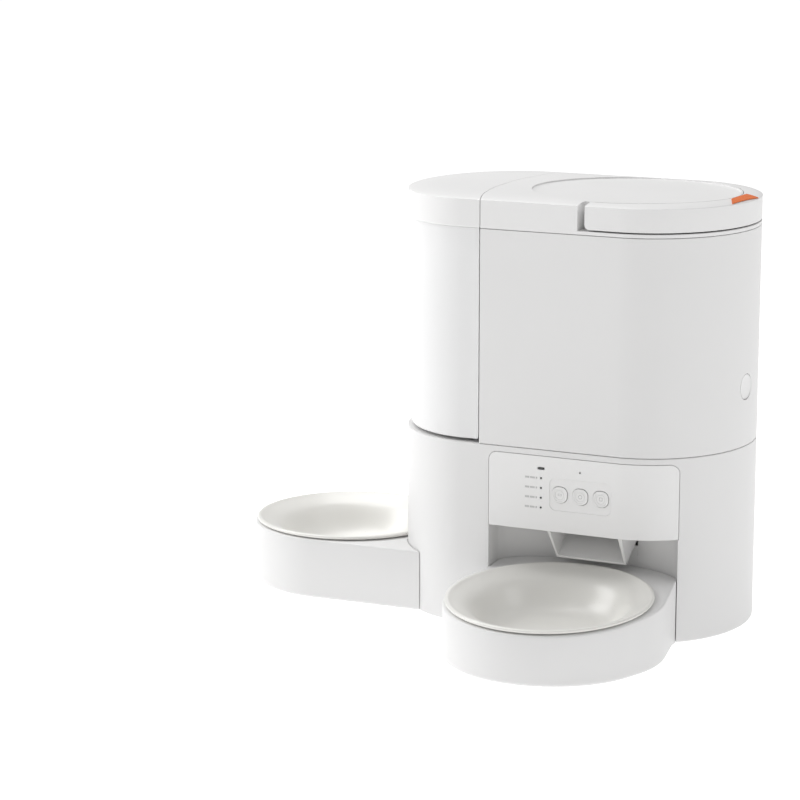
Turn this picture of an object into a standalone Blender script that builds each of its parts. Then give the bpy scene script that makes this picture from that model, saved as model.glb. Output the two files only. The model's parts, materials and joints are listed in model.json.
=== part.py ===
"""Two-in-one pet feeder: a dry-food hopper and a water tank side by side on one base, with a food bowl
in front and a water bowl at the left end. Metres, +Z up, front towards -Y. Every piece is first drawn
in the body's own frame, whose origin is on the floor under the middle of the base, and one empty then
carries them all so that the world origin is under the middle of the whole object."""

import math

import bmesh
import bpy
from mathutils import Matrix, Vector

MM = 0.001

# Driving dimensions of the body
STRAIGHT = 127 * MM  # length of the flat front between the two rounded ends
END_REACH = 76.5 * MM  # how far each rounded end stands out beyond the flat front
DEPTH = 180 * MM
BASE_TOP = 145 * MM
LID_SEAM = 312.3 * MM
TOP = 333.6 * MM  # top of the upright sides
CROWN = 2.8 * MM  # how far the gently rounded top rises above them
CROWN_RUN = 28 * MM
FOOT_HEIGHT = 1.0 * MM
WALL = 2.6 * MM
SEAM = 0.4 * MM  # hairline between two fixed shells
FIT = 0.3 * MM  # clearance between pieces that seat in one another
END_STEPS = 18  # facets in each rounded end

# The line where the tank meets the hopper: an arc that bulges towards the tank
SPLIT_X = -47.8 * MM
SPLIT_BULGE = 14.4 * MM
SPLIT_STEPS = 10
TANK_INSET = 3.0 * MM
TANK_WALL = 2.2 * MM
TANK_FLOOR = 2.2 * MM
TANK_LIFT = 2.3 * MM  # tank floor above the base

# Lid, handle and pull tab
LID_FLANGE = 2.7 * MM
HANDLE_GAP = 1.2 * MM
LID_SKIN = 2.4 * MM
OVAL_IN = 96.5 * MM  # middle of the oval, in from the right end
OVAL_REACH = 82.3 * MM
OVAL_SIDE = 13 * MM  # width of the handle's arms beside the oval
DISH_DEPTH = 1.8 * MM
DISH_RIM = 1.2 * MM
SLOT_BESIDE_OVAL = 12.1 * MM  # the slot's left side, left of the oval's middle
SLOT_WIDTH = 5.6 * MM
HANDLE_GAP_END = 0.6 * MM
HANDLE_GAP_SIDE = 1.3 * MM
PIVOT_BEHIND_SLOT = 7.0 * MM
HANDLE_CORNER = 4.0 * MM
PIN_RADIUS = 2.4 * MM
PLUG_DEPTH = 8 * MM
SEAL_THICK = 2.4 * MM
SEAL_HEIGHT = 3 * MM
PIN_END_GAP = 1.2 * MM
TAB_WIDTH = 31 * MM
TAB_Y = -6 * MM
TAB_THICK = 0.8 * MM
TAB_LIFT = 0.5 * MM

# Front alcove, control panel and chute
ALCOVE_LEFT = -39.3 * MM
ALCOVE_RIGHT = 109.5 * MM
ALCOVE_DEPTH = 42 * MM
ALCOVE_ROUND_LAP = 2.088 * MM  # how far the rounded back starts in front of the right-hand mouth
ALCOVE_TOP = 82 * MM
PANEL_TOP = 140.2 * MM
PANEL_THICK = 2.4 * MM
PANEL_CORNER = 6.5 * MM
KEYPAD_X = 36.5 * MM
KEYPAD_Z = 111.4 * MM
KEYPAD_WIDTH = 50.5 * MM
KEYPAD_HEIGHT = 25 * MM
KEYPAD_RECESS = 0.5 * MM
BUTTON_PITCH = 16.8 * MM
BUTTON_SIZE = 12.2 * MM
BUTTON_CORNER = 4.0 * MM
BUTTON_GAP = 0.35 * MM
BUTTON_PROUD = 0.3 * MM
BUTTON_TRAVEL = 0.8 * MM
BUTTON_FLANGE = 1.0 * MM
LIGHT_X = 4.2 * MM
LIGHT_TOP_Z = 123.0 * MM
LIGHT_PITCH = 7.7 * MM
LIGHT_SIZE = 1.4 * MM
STATUS_Z = 130.6 * MM
STATUS_WIDTH = 5.6 * MM
STATUS_HEIGHT = 1.8 * MM
PINHOLE_X = 36.1 * MM
PINHOLE_Z = 130.2 * MM
PINHOLE_RADIUS = 0.75 * MM
CHUTE_X = 39 * MM
CHUTE_TOP_HALF = 30.5 * MM
CHUTE_LIP_HALF = 28.7 * MM
CHUTE_WALL = 1.8 * MM
CHUTE_LIP_IN = 19 * MM  # the lip, in from the flat front
CHUTE_BACK_IN = 54 * MM
PASSAGE_FRONT_IN = 30 * MM
PASSAGE_BACK_IN = 60 * MM
CHUTE_LIP_Z = 57 * MM
CHUTE_SLOPE = math.radians(38)
CHUTE_FLOOR = 2.2 * MM

# Side alcove for the water bowl
SIDE_HALF_WIDTH = 44 * MM
SIDE_DEPTH = 28 * MM
SIDE_ROUND = 16 * MM

# Bowls and their trays
BOWL_DEPTH = 31 * MM
TRAY_RADIUS = 80 * MM
BOWL_IN_TRAY = 1.3 * MM  # the bowl's rim, in from the tray's side
TRAY_WALL = 2.4 * MM
RIM_HEIGHT = 4.0 * MM  # bowl rim above the tray's top
FOOD_TRAY_OVERLAP = 25 * MM  # how far the tray's round end reaches in past the flat front
FOOD_TRAY_TOP = 44.5 * MM  # at the middle of the bowl
FOOD_TILT = math.radians(4)
WATER_TRAY_OVERLAP = 18 * MM  # and past the left end
WATER_TRAY_TOP = 49.3 * MM
WATER_TRAY_HALF = 75 * MM  # half width where the water tray meets the body
TRAY_GAP = 0.6 * MM
PAD_WIDTH = 4 * MM
ROUND_STEPS = 40

# Dispensing mechanism
ROTOR_IN = 72 * MM  # rotor axis, in from the flat front
ROTOR_Z = 112 * MM
ROTOR_RADIUS = 24 * MM
ROTOR_LENGTH = 48 * MM
ROTOR_BLADES = 6
ROTOR_CLEARANCE = 1.5 * MM
HOUSING_WALL = 2.4 * MM
SHAFT_RADIUS = 4 * MM
GEAR_MODULE = 1.4 * MM
GEAR_TEETH = 30
PINION_TEETH = 10
GEAR_WIDTH = 5 * MM
GEAR_OFFSET = 4 * MM

# Water passage
VALVE_IN = 42 * MM  # in from the left end
VALVE_RADIUS = 13 * MM
CUP_RADIUS = 17 * MM
CUP_WALL = 2 * MM
CUP_DEPTH = 11 * MM
NOZZLE_IN = 19 * MM
HOSE_RADIUS = 3.5 * MM

# Release button on the hopper's right end
RELEASE_Y = -10 * MM
RELEASE_Z = 191.5 * MM
RELEASE_RADIUS = 9.6 * MM
RELEASE_TRAVEL = 1.5 * MM

HALF_STRAIGHT = STRAIGHT / 2
HALF_DEPTH = DEPTH / 2
BODY_END = HALF_STRAIGHT + END_REACH
OVAL_X = BODY_END - OVAL_IN
OVAL_HALF_DEPTH = HALF_DEPTH - OVAL_SIDE
SLOT_LEFT = OVAL_X - SLOT_BESIDE_OVAL
CHUTE_LIP_Y = -HALF_DEPTH + CHUTE_LIP_IN
CHUTE_BACK_Y = -HALF_DEPTH + CHUTE_BACK_IN
PASSAGE_FRONT_Y = -HALF_DEPTH + PASSAGE_FRONT_IN
PASSAGE_BACK_Y = -HALF_DEPTH + PASSAGE_BACK_IN
BOWL_RADIUS = TRAY_RADIUS - BOWL_IN_TRAY
FOOD_BOWL_Y = -HALF_DEPTH - TRAY_RADIUS + FOOD_TRAY_OVERLAP
WATER_BOWL_X = -BODY_END - TRAY_RADIUS + WATER_TRAY_OVERLAP
ROTOR_Y = -HALF_DEPTH + ROTOR_IN
VALVE_X = -BODY_END + VALVE_IN
NOZZLE_X = -BODY_END + NOZZLE_IN
SPLIT_RADIUS = (HALF_DEPTH**2 + SPLIT_BULGE**2) / (2 * SPLIT_BULGE)
SPLIT_CENTRE = SPLIT_X - SPLIT_BULGE + SPLIT_RADIUS
RIGHT_MOUTH_IN = HALF_DEPTH * (1 - math.sqrt(1 - ((ALCOVE_RIGHT - HALF_STRAIGHT) / END_REACH) ** 2))
ALCOVE_ROUND = ALCOVE_DEPTH - RIGHT_MOUTH_IN + ALCOVE_ROUND_LAP
ALCOVE_MIDDLE = (ALCOVE_LEFT + ALCOVE_RIGHT) / 2
ALCOVE_HALF = (ALCOVE_RIGHT - ALCOVE_LEFT) / 2
DECK_UNDER = BASE_TOP - 3 * MM
BASE_BOTTOM = FOOT_HEIGHT
HANDLE_BOTTOM = LID_SEAM + LID_FLANGE + HANDLE_GAP
SLOT_RIGHT = SLOT_LEFT + SLOT_WIDTH
PIVOT_X = SLOT_RIGHT + PIVOT_BEHIND_SLOT
SUMMIT = TOP + CROWN
PIVOT_Z = (HANDLE_BOTTOM + SUMMIT) / 2
PLATE_THICK = 2.2 * MM
HOPPER_FLOOR = 2.4 * MM
PANEL_BACK = -HALF_DEPTH + PANEL_THICK
BOARD_FRONT = PANEL_BACK + FIT + BUTTON_FLANGE + 0.7 * MM + BUTTON_TRAVEL + FIT + 3 * MM
HOUSING_RADIUS = ROTOR_RADIUS + ROTOR_CLEARANCE + HOUSING_WALL
ROTOR_LEFT = KEYPAD_X - ROTOR_LENGTH / 2
ROTOR_RIGHT = KEYPAD_X + ROTOR_LENGTH / 2
OUTLET_HALF_X = ROTOR_LENGTH / 2 - 1 * MM
OUTLET_HALF_Y = 17 * MM
GEAR_X = ROTOR_RIGHT + ROTOR_CLEARANCE + HOUSING_WALL + GEAR_OFFSET
GEAR_DISTANCE = GEAR_MODULE * (GEAR_TEETH + PINION_TEETH) / 2

WHITE = (0.86, 0.86, 0.855, 1)


def clear_scene():
    for old in list(bpy.data.objects):
        bpy.data.objects.remove(old, do_unlink=True)


def material(name, color, roughness, metallic=0.0):
    made = bpy.data.materials.get(name) or bpy.data.materials.new(name)
    made.use_nodes = True
    shader = made.node_tree.nodes["Principled BSDF"]
    shader.inputs["Base Color"].default_value = color
    shader.inputs["Roughness"].default_value = roughness
    shader.inputs["Metallic"].default_value = metallic
    made.diffuse_color = color
    return made


# ---------------------------------------------------------------- outlines, as lists of (x, y)


def arc(cx, cy, rx, ry, start, end, steps):
    angles = [math.radians(start + (end - start) * i / steps) for i in range(steps + 1)]
    return [(cx + rx * math.cos(a), cy + ry * math.sin(a)) for a in angles]


def body_outline(inset=0.0):
    """The whole body seen from above, counter-clockwise from the front right."""
    rx, ry = END_REACH - inset, HALF_DEPTH - inset
    right = arc(HALF_STRAIGHT, 0, rx, ry, -90, 90, END_STEPS)
    left = arc(-HALF_STRAIGHT, 0, rx, ry, 90, 270, END_STEPS)
    return right + left


def body_front(x, inset=0.0):
    """The y of the body's front at this x."""
    beyond = max(abs(x) - HALF_STRAIGHT, 0)
    return -(HALF_DEPTH - inset) * math.sqrt(1 - (beyond / (END_REACH - inset)) ** 2)


def body_end(y, inset=0.0):
    """How far the rounded ends reach from the middle at this y."""
    return HALF_STRAIGHT + (END_REACH - inset) * math.sqrt(1 - (y / (HALF_DEPTH - inset)) ** 2)


def split_arc(inset, half_depth):
    """Points along the tank and hopper's dividing line from back to front; a positive inset moves it right."""
    radius = SPLIT_RADIUS - inset
    spread = math.degrees(math.asin(half_depth / radius))
    return arc(SPLIT_CENTRE, 0, radius, radius, 180 - spread, 180 + spread, SPLIT_STEPS)


def hopper_outline(inset=0.0):
    right = arc(HALF_STRAIGHT, 0, END_REACH - inset, HALF_DEPTH - inset, -90, 90, END_STEPS)
    return right + split_arc(inset, HALF_DEPTH - inset)


def tank_outline(inset, split_gap):
    """The left part of the body, whose right side keeps split_gap from the dividing line."""
    left = arc(-HALF_STRAIGHT, 0, END_REACH - inset, HALF_DEPTH - inset, 90, 270, END_STEPS)
    return left + split_arc(-split_gap, HALF_DEPTH - inset)[::-1]


def oval(grow_x=0.0, grow_y=0.0):
    return arc(OVAL_X, 0, OVAL_REACH + grow_x, OVAL_HALF_DEPTH + grow_y, 0, 360, 48)[:-1]


def alcove_outline(grow, front):
    """The front alcove from above, open towards the front as far as the given y."""
    springing = -HALF_DEPTH + ALCOVE_DEPTH - ALCOVE_ROUND
    back = arc(ALCOVE_MIDDLE, springing, ALCOVE_HALF + grow, ALCOVE_ROUND + grow, 0, 180, END_STEPS)
    return [(ALCOVE_LEFT - grow, front), (ALCOVE_RIGHT + grow, front)] + back


def side_outline(grow, left):
    """The side alcove from above, open towards the left as far as the given x."""
    springing = -BODY_END + SIDE_DEPTH - SIDE_ROUND
    back = arc(springing, 0, SIDE_ROUND + grow, SIDE_HALF_WIDTH + grow, -90, 90, END_STEPS)
    return [(left, SIDE_HALF_WIDTH + grow), (left, -SIDE_HALF_WIDTH - grow)] + back


def rounded_box(cx, cy, half_x, half_y, radius, steps=4):
    """A rectangle with round corners, counter-clockwise."""
    points = []
    for sx, sy, start in ((1, -1, -90), (1, 1, 0), (-1, 1, 90), (-1, -1, 180)):
        centre_x, centre_y = cx + sx * (half_x - radius), cy + sy * (half_y - radius)
        points += arc(centre_x, centre_y, radius, radius, start, start + 90, steps)
    return points


def offset(points, distance):
    """The outline moved inwards by distance, corner by corner."""
    moved = []
    for before, here, after in zip(points[-1:] + points[:-1], points, points[1:] + points[:1]):
        first = (Vector(here) - Vector(before)).normalized()
        second = (Vector(after) - Vector(here)).normalized()
        inward_1, inward_2 = Vector((-first.y, first.x)), Vector((-second.y, second.x))
        bisector = (inward_1 + inward_2).normalized()
        reach = distance / max(bisector.dot(inward_1), 0.3)
        moved.append((here[0] + bisector.x * reach, here[1] + bisector.y * reach))
    return moved


def distinct(points):
    """The outline without a point that repeats the one before it."""
    kept = []
    for point in points:
        if not kept or math.dist(point, kept[-1]) > 1e-6:
            kept.append(point)
    return kept if math.dist(kept[0], kept[-1]) > 1e-6 else kept[:-1]


# ---------------------------------------------------------------- solids


def prism(outline, low, high, axis="Z"):
    """A closed solid between two planes. low and high are heights, or functions of the outline's point.
    On axis X the outline is (y, z); on axis Y it is (x, z)."""
    mesh = bmesh.new()
    outline = distinct(outline)

    def level(value, point):
        return value(point) if callable(value) else value

    def corner(point, along):
        a, b = point
        return {"Z": (a, b, along), "X": (along, a, b), "Y": (a, along, b)}[axis]

    bottom = [mesh.verts.new(corner(p, level(low, p))) for p in outline]
    top = [mesh.verts.new(corner(p, level(high, p))) for p in outline]
    mesh.faces.new(bottom[::-1])
    mesh.faces.new(top)
    for i in range(len(outline)):
        j = (i + 1) % len(outline)
        mesh.faces.new((bottom[i], bottom[j], top[j], top[i]))
    bmesh.ops.recalc_face_normals(mesh, faces=mesh.faces)
    return mesh


def ring(outer, inner, low, high):
    """An upright tube between two outlines with the same number of points."""
    return loft([(outer, low), (outer, high), (inner, high), (inner, low)])


def loft(levels):
    """A closed band through outlines at their heights; the last joins the first again."""
    mesh = bmesh.new()
    rows = [[mesh.verts.new((x, y, height)) for x, y in outline] for outline, height in levels]
    for row, other in zip(rows, rows[1:] + rows[:1]):
        for i in range(len(row)):
            j = (i + 1) % len(row)
            mesh.faces.new((row[i], row[j], other[j], other[i]))
    bmesh.ops.recalc_face_normals(mesh, faces=mesh.faces)
    return mesh


def box(low, high):
    x0, y0, z0 = low
    x1, y1, z1 = high
    return prism([(x0, y0), (x1, y0), (x1, y1), (x0, y1)], z0, z1)


def rod(centre, radius, low, high, axis="Z", steps=20):
    """A cylinder along an axis; centre gives its two other coordinates, in X, Y, Z order."""
    return prism(arc(*centre, radius, radius, 0, 360, steps)[:-1], low, high, axis)


def turned(profile, steps=ROUND_STEPS):
    """A solid turned about Z from (radius, height) points; a point at radius 0 closes it on the axis."""
    mesh = bmesh.new()
    verts = [mesh.verts.new((r, 0, z)) for r, z in profile]
    closed = all(r > 0 for r, z in profile)
    edges = [mesh.edges.new(pair) for pair in zip(verts, verts[1:] + (verts[:1] if closed else []))]
    bmesh.ops.spin(
        mesh, geom=verts + edges, axis=(0, 0, 1), cent=(0, 0, 0), steps=steps, angle=math.tau, use_merge=True
    )
    bmesh.ops.remove_doubles(mesh, verts=mesh.verts, dist=1e-6)
    bmesh.ops.recalc_face_normals(mesh, faces=mesh.faces)
    return mesh


def placed(mesh, position=(0, 0, 0), tilt=0.0, turn=0.0):
    """The solid tilted about X, then turned about Z, then moved."""
    matrix = Matrix.Translation(position) @ Matrix.Rotation(turn, 4, "Z") @ Matrix.Rotation(tilt, 4, "X")
    bmesh.ops.transform(mesh, matrix=matrix, verts=mesh.verts)
    return mesh


def gear_outline(cy, cz, teeth, phase):
    """A spur gear from the end: straight-sided teeth, thinner than half the pitch so that they run free."""
    pitch_radius = GEAR_MODULE * teeth / 2
    tip, root = pitch_radius + 0.8 * GEAR_MODULE, pitch_radius - 1.15 * GEAR_MODULE
    half_root, half_tip = 0.27 * math.tau / teeth, 0.12 * math.tau / teeth
    points = []
    for tooth in range(teeth):
        middle = phase + math.tau * tooth / teeth
        for radius, angle in ((root, -half_root), (tip, -half_tip), (tip, half_tip), (root, half_root)):
            points.append((cy + radius * math.cos(middle + angle), cz + radius * math.sin(middle + angle)))
    return points


def crown_height(share):
    """The top's height at this share of the way from the side's edge to the flat middle."""
    return TOP + CROWN * math.sin(share * math.pi / 2) ** 0.55


def crown(low):
    """The body's outline from low up to the gently rounded top that its lids share."""
    levels = [(body_outline(), low)]
    for share in (0, 0.05, 0.18, 0.4, 0.7, 1):
        levels.append((body_outline(CROWN_RUN * share), crown_height(share)))
    mesh = bmesh.new()
    rows = [[mesh.verts.new((x, y, height)) for x, y in outline] for outline, height in levels]
    for row, other in zip(rows, rows[1:]):
        for i in range(len(row)):
            j = (i + 1) % len(row)
            mesh.faces.new((row[i], row[j], other[j], other[i]))
    mesh.faces.new(rows[0][::-1])
    mesh.faces.new(rows[-1])
    bmesh.ops.recalc_face_normals(mesh, faces=mesh.faces)
    return mesh


# ---------------------------------------------------------------- objects


def piece(name, mesh, finish, pivot=(0, 0, 0)):
    """An object whose origin is at pivot, carried by the frame empty."""
    bmesh.ops.translate(mesh, vec=-Vector(pivot), verts=mesh.verts)
    data = bpy.data.meshes.new(name)
    mesh.to_mesh(data)
    mesh.free()
    data.materials.append(finish)
    data.shade_smooth()
    data.set_sharp_from_angle(angle=math.radians(35))
    made = bpy.data.objects.new(name, data)
    made.location = pivot
    made.parent = bpy.data.objects["frame_origin"]
    bpy.context.scene.collection.objects.link(made)
    return made


def cutter(name, mesh):
    made = piece(name, mesh, material("cutter", (1, 0.4, 0.1, 1), 0.5))
    made.hide_render = True
    made.display_type = "WIRE"
    return made


def combine(target, operation, *others):
    for other in others:
        modifier = target.modifiers.new(f"{operation.lower()} {other.name}", "BOOLEAN")
        modifier.operation = operation
        modifier.object = other
        modifier.solver = "EXACT"


def cut(target, *others):
    combine(target, "DIFFERENCE", *others)


def helper(target, operation, name, mesh):
    """Combines target with a hidden solid made for it alone."""
    combine(target, operation, cutter(f"{target.name}_{name}", mesh))


# ---------------------------------------------------------------- base


def post_places():
    """Where the four screw posts and feet stand."""
    inner = HALF_DEPTH - WALL - 12 * MM
    return [
        (HALF_STRAIGHT + END_REACH / 2, inner * 0.62),
        (HALF_STRAIGHT + END_REACH / 2, -inner * 0.30),
        (-HALF_STRAIGHT - END_REACH / 4, inner * 0.72),
        (-HALF_STRAIGHT - END_REACH / 4, -inner * 0.72),
    ]


def panel_outline(grow):
    """The control panel from the front, as (x, z), square below and round at its two upper corners."""
    left, right = ALCOVE_LEFT - grow, ALCOVE_RIGHT + grow
    top, bottom, radius = PANEL_TOP + grow, ALCOVE_TOP - grow, PANEL_CORNER + grow
    corners = arc(right - radius, top - radius, radius, radius, 0, 90, 5)
    corners += arc(left + radius, top - radius, radius, radius, 90, 180, 5)
    return [(left, bottom), (right, bottom)] + corners


def make_base(shell_finish, dark_finish, rubber, steel):
    block_top = ALCOVE_TOP + WALL
    cavity = cutter("base_cavity", prism(body_outline(WALL), -5 * MM, DECK_UNDER))
    helper(cavity, "DIFFERENCE", "front_wall", prism(alcove_outline(WALL, -2 * DEPTH), -8 * MM, block_top))
    helper(cavity, "DIFFERENCE", "side_wall", prism(side_outline(WALL, -2 * DEPTH), -8 * MM, block_top))
    for number, place in enumerate(post_places(), 1):
        helper(cavity, "DIFFERENCE", f"post_{number}", rod(place, 4.5 * MM, PLATE_THICK + 3 * MM, BASE_TOP))

    base = piece("base_housing", prism(body_outline(), BASE_BOTTOM, BASE_TOP), shell_finish)
    cut(base, cavity)
    helper(base, "DIFFERENCE", "front_alcove", prism(alcove_outline(0, -2 * DEPTH), -8 * MM, ALCOVE_TOP))
    helper(base, "DIFFERENCE", "side_alcove", prism(side_outline(0, -2 * DEPTH), -8 * MM, ALCOVE_TOP))
    recess = prism(panel_outline(FIT), -2 * DEPTH, 0, "Y")
    recess_cut = cutter("base_panel_recess", recess)
    helper(recess_cut, "DIFFERENCE", "behind", prism(body_outline(PANEL_THICK + FIT), 0, TOP))
    cut(base, recess_cut)
    passage = (CHUTE_TOP_HALF + TRAY_GAP, PASSAGE_FRONT_Y, PASSAGE_BACK_Y)
    helper(
        base,
        "DIFFERENCE",
        "chute_passage",
        box((CHUTE_X - passage[0], passage[1], 68 * MM), (CHUTE_X + passage[0], passage[2], 90 * MM)),
    )
    outlet = rounded_box(KEYPAD_X, ROTOR_Y, OUTLET_HALF_X, OUTLET_HALF_Y, 5 * MM)
    helper(base, "DIFFERENCE", "food_hole", prism(outlet, DECK_UNDER - MM, TOP))
    helper(base, "DIFFERENCE", "cup_hole", rod((VALVE_X, 0), CUP_RADIUS + FIT, DECK_UNDER - MM, TOP))
    nozzle_hole = rod((NOZZLE_X, 0), HOSE_RADIUS + 2 * MM + FIT, ALCOVE_TOP - MM, block_top + MM, steps=16)
    helper(base, "DIFFERENCE", "nozzle_hole", nozzle_hole)
    inlet_hole = rod((0, 25 * MM), 6 * MM + FIT, HALF_DEPTH - WALL - MM, HALF_DEPTH + MM, "Y")
    helper(base, "DIFFERENCE", "inlet_hole", inlet_hole)
    for number, place in enumerate(post_places(), 1):
        pilot = rod(place, 1.8 * MM, 0, PLATE_THICK + 14 * MM, steps=10)
        helper(base, "DIFFERENCE", f"pilot_{number}", pilot)

    low = BASE_BOTTOM + FIT
    plate = piece("base_bottom_plate", prism(body_outline(WALL + FIT), low, low + PLATE_THICK), dark_finish)
    helper(plate, "DIFFERENCE", "front", prism(alcove_outline(WALL + FIT, -2 * DEPTH), -MM, 20 * MM))
    helper(plate, "DIFFERENCE", "side", prism(side_outline(WALL + FIT, -2 * DEPTH), -MM, 20 * MM))
    for number, (x, y) in enumerate(post_places(), 1):
        helper(plate, "DIFFERENCE", f"hole_{number}", rod((x, y), 3.8 * MM, -MM, 20 * MM, steps=16))
        head = turned([(0, low), (3.3 * MM, low), (3.3 * MM, low + 1.6 * MM), (1.4 * MM, low + 1.6 * MM),
                       (1.4 * MM, low + 10 * MM), (0, low + 10 * MM)], 12)
        screw = piece(f"base_screw_{number}", placed(head, (x, y, 0)), steel)
        slot = box((x - 2.2 * MM, y - 0.4 * MM, 0), (x + 2.2 * MM, y + 0.4 * MM, low + 0.8 * MM))
        helper(screw, "DIFFERENCE", "slot", slot)
        inward = 12 * MM if x < 0 else -12 * MM
        foot_x = x + inward
        foot = turned([(0, 0), (8 * MM, 0), (8.6 * MM, low - FIT), (0, low - FIT)], 20)
        piece(f"rubber_foot_{number}", placed(foot, (foot_x, y, 0)), rubber)


def make_panel(shell_finish, button_finish, lens_finish, board_finish):
    panel = piece("control_panel", prism(panel_outline(0), -DEPTH, 0, "Y"), shell_finish)
    band = ring(body_outline(0), body_outline(PANEL_THICK), 0, TOP)
    helper(panel, "INTERSECT", "band", band)
    front = -HALF_DEPTH
    pad = rounded_box(KEYPAD_X, KEYPAD_Z, KEYPAD_WIDTH / 2, KEYPAD_HEIGHT / 2, 5 * MM)
    helper(panel, "DIFFERENCE", "keypad", prism(pad, front - 5 * MM, front + KEYPAD_RECESS, "Y"))
    names = ("feed_button", "water_button", "lock_button")
    flange_front = PANEL_BACK + FIT
    for index, name in enumerate(names):
        x = KEYPAD_X + (index - 1) * BUTTON_PITCH
        hole = rounded_box(x, KEYPAD_Z, BUTTON_SIZE / 2 + BUTTON_GAP, BUTTON_SIZE / 2 + BUTTON_GAP,
                           BUTTON_CORNER + BUTTON_GAP)
        helper(panel, "DIFFERENCE", f"hole_{index}", prism(hole, front - 9 * MM, front + 9 * MM, "Y"))
        cap = rounded_box(x, KEYPAD_Z, BUTTON_SIZE / 2, BUTTON_SIZE / 2, BUTTON_CORNER)
        face = front + KEYPAD_RECESS - BUTTON_PROUD - 0.4 * MM
        button = piece(name, prism(cap, face, flange_front + BUTTON_FLANGE / 2, "Y"), button_finish)
        flange = rounded_box(x, KEYPAD_Z, BUTTON_SIZE / 2 + 1.2 * MM, BUTTON_SIZE / 2 + 1.2 * MM, 4 * MM)
        helper(button, "UNION", "flange", prism(flange, flange_front, flange_front + BUTTON_FLANGE, "Y"))
        stem = rod((x, KEYPAD_Z), 2 * MM, flange_front, flange_front + BUTTON_FLANGE + 0.7 * MM, "Y", 12)
        helper(button, "UNION", "stem", stem)
    lights = [("status_light", STATUS_Z, STATUS_WIDTH, STATUS_HEIGHT)]
    for number in range(4):
        z = LIGHT_TOP_Z - number * LIGHT_PITCH
        lights.append((f"indicator_light_{number + 1}", z, LIGHT_SIZE, LIGHT_SIZE))
    for name, z, width, height in lights:
        low, high = (LIGHT_X - width / 2, z - height / 2), (LIGHT_X + width / 2, z + height / 2)
        piece(name, box((low[0], front + 0.1 * MM, low[1]), (high[0], PANEL_BACK + 2 * MM, high[1])), lens_finish)
        hole = box((low[0] - FIT, front - MM, low[1] - FIT), (high[0] + FIT, PANEL_BACK + MM, high[1] + FIT))
        helper(panel, "DIFFERENCE", name, hole)
    pinhole = rod((PINHOLE_X, PINHOLE_Z), PINHOLE_RADIUS, front - MM, PANEL_BACK + MM, "Y", 10)
    helper(panel, "DIFFERENCE", "pinhole", pinhole)

    board_low = (LIGHT_X - 22 * MM, BOARD_FRONT, ALCOVE_TOP + WALL + 3 * MM)
    board = piece("circuit_board", box(board_low, (HALF_STRAIGHT, BOARD_FRONT + 1.6 * MM, PANEL_TOP - 3 * MM)),
                  board_finish)
    for index in range(len(names)):
        x = KEYPAD_X + (index - 1) * BUTTON_PITCH
        switch = box((x - 3 * MM, BOARD_FRONT - 3 * MM, KEYPAD_Z - 3 * MM),
                     (x + 3 * MM, BOARD_FRONT + 0.5 * MM, KEYPAD_Z + 3 * MM))
        helper(board, "UNION", f"switch_{index}", switch)


def make_chute(finish):
    back_y = CHUTE_BACK_Y
    rise = math.tan(CHUTE_SLOPE)
    top = ALCOVE_TOP + 6 * MM
    under = ALCOVE_TOP - FIT
    passage_front = PASSAGE_FRONT_Y + TRAY_GAP
    side = [
        (CHUTE_LIP_Y, CHUTE_LIP_Z),
        (back_y, CHUTE_LIP_Z + (back_y - CHUTE_LIP_Y) * rise),
        (back_y, top),
        (passage_front, top),
        (passage_front, under),
        (PANEL_BACK + FIT, under),
    ]

    def half_width(point, inset=0.0):
        share = (point[1] - CHUTE_LIP_Z) / (ALCOVE_TOP - CHUTE_LIP_Z)
        wide = CHUTE_LIP_HALF + (CHUTE_TOP_HALF - CHUTE_LIP_HALF) * min(max(share, 0), 1)
        return wide - inset

    chute = piece("food_chute", prism(side, lambda p: CHUTE_X - half_width(p),
                                      lambda p: CHUTE_X + half_width(p), "X"), finish)
    floor = CHUTE_LIP_Z + CHUTE_FLOOR / math.cos(CHUTE_SLOPE)
    front_y, far_y = -2 * HALF_DEPTH, 0
    hollow = [
        (front_y, floor + (front_y - CHUTE_LIP_Y) * rise),
        (CHUTE_LIP_Y, floor),
        (far_y, floor + (far_y - CHUTE_LIP_Y) * rise),
        (far_y, BASE_TOP),
        (front_y, BASE_TOP),
    ]
    helper(chute, "DIFFERENCE", "hollow", prism(hollow, lambda p: CHUTE_X - half_width(p, CHUTE_WALL),
                                                lambda p: CHUTE_X + half_width(p, CHUTE_WALL), "X"))


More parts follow.
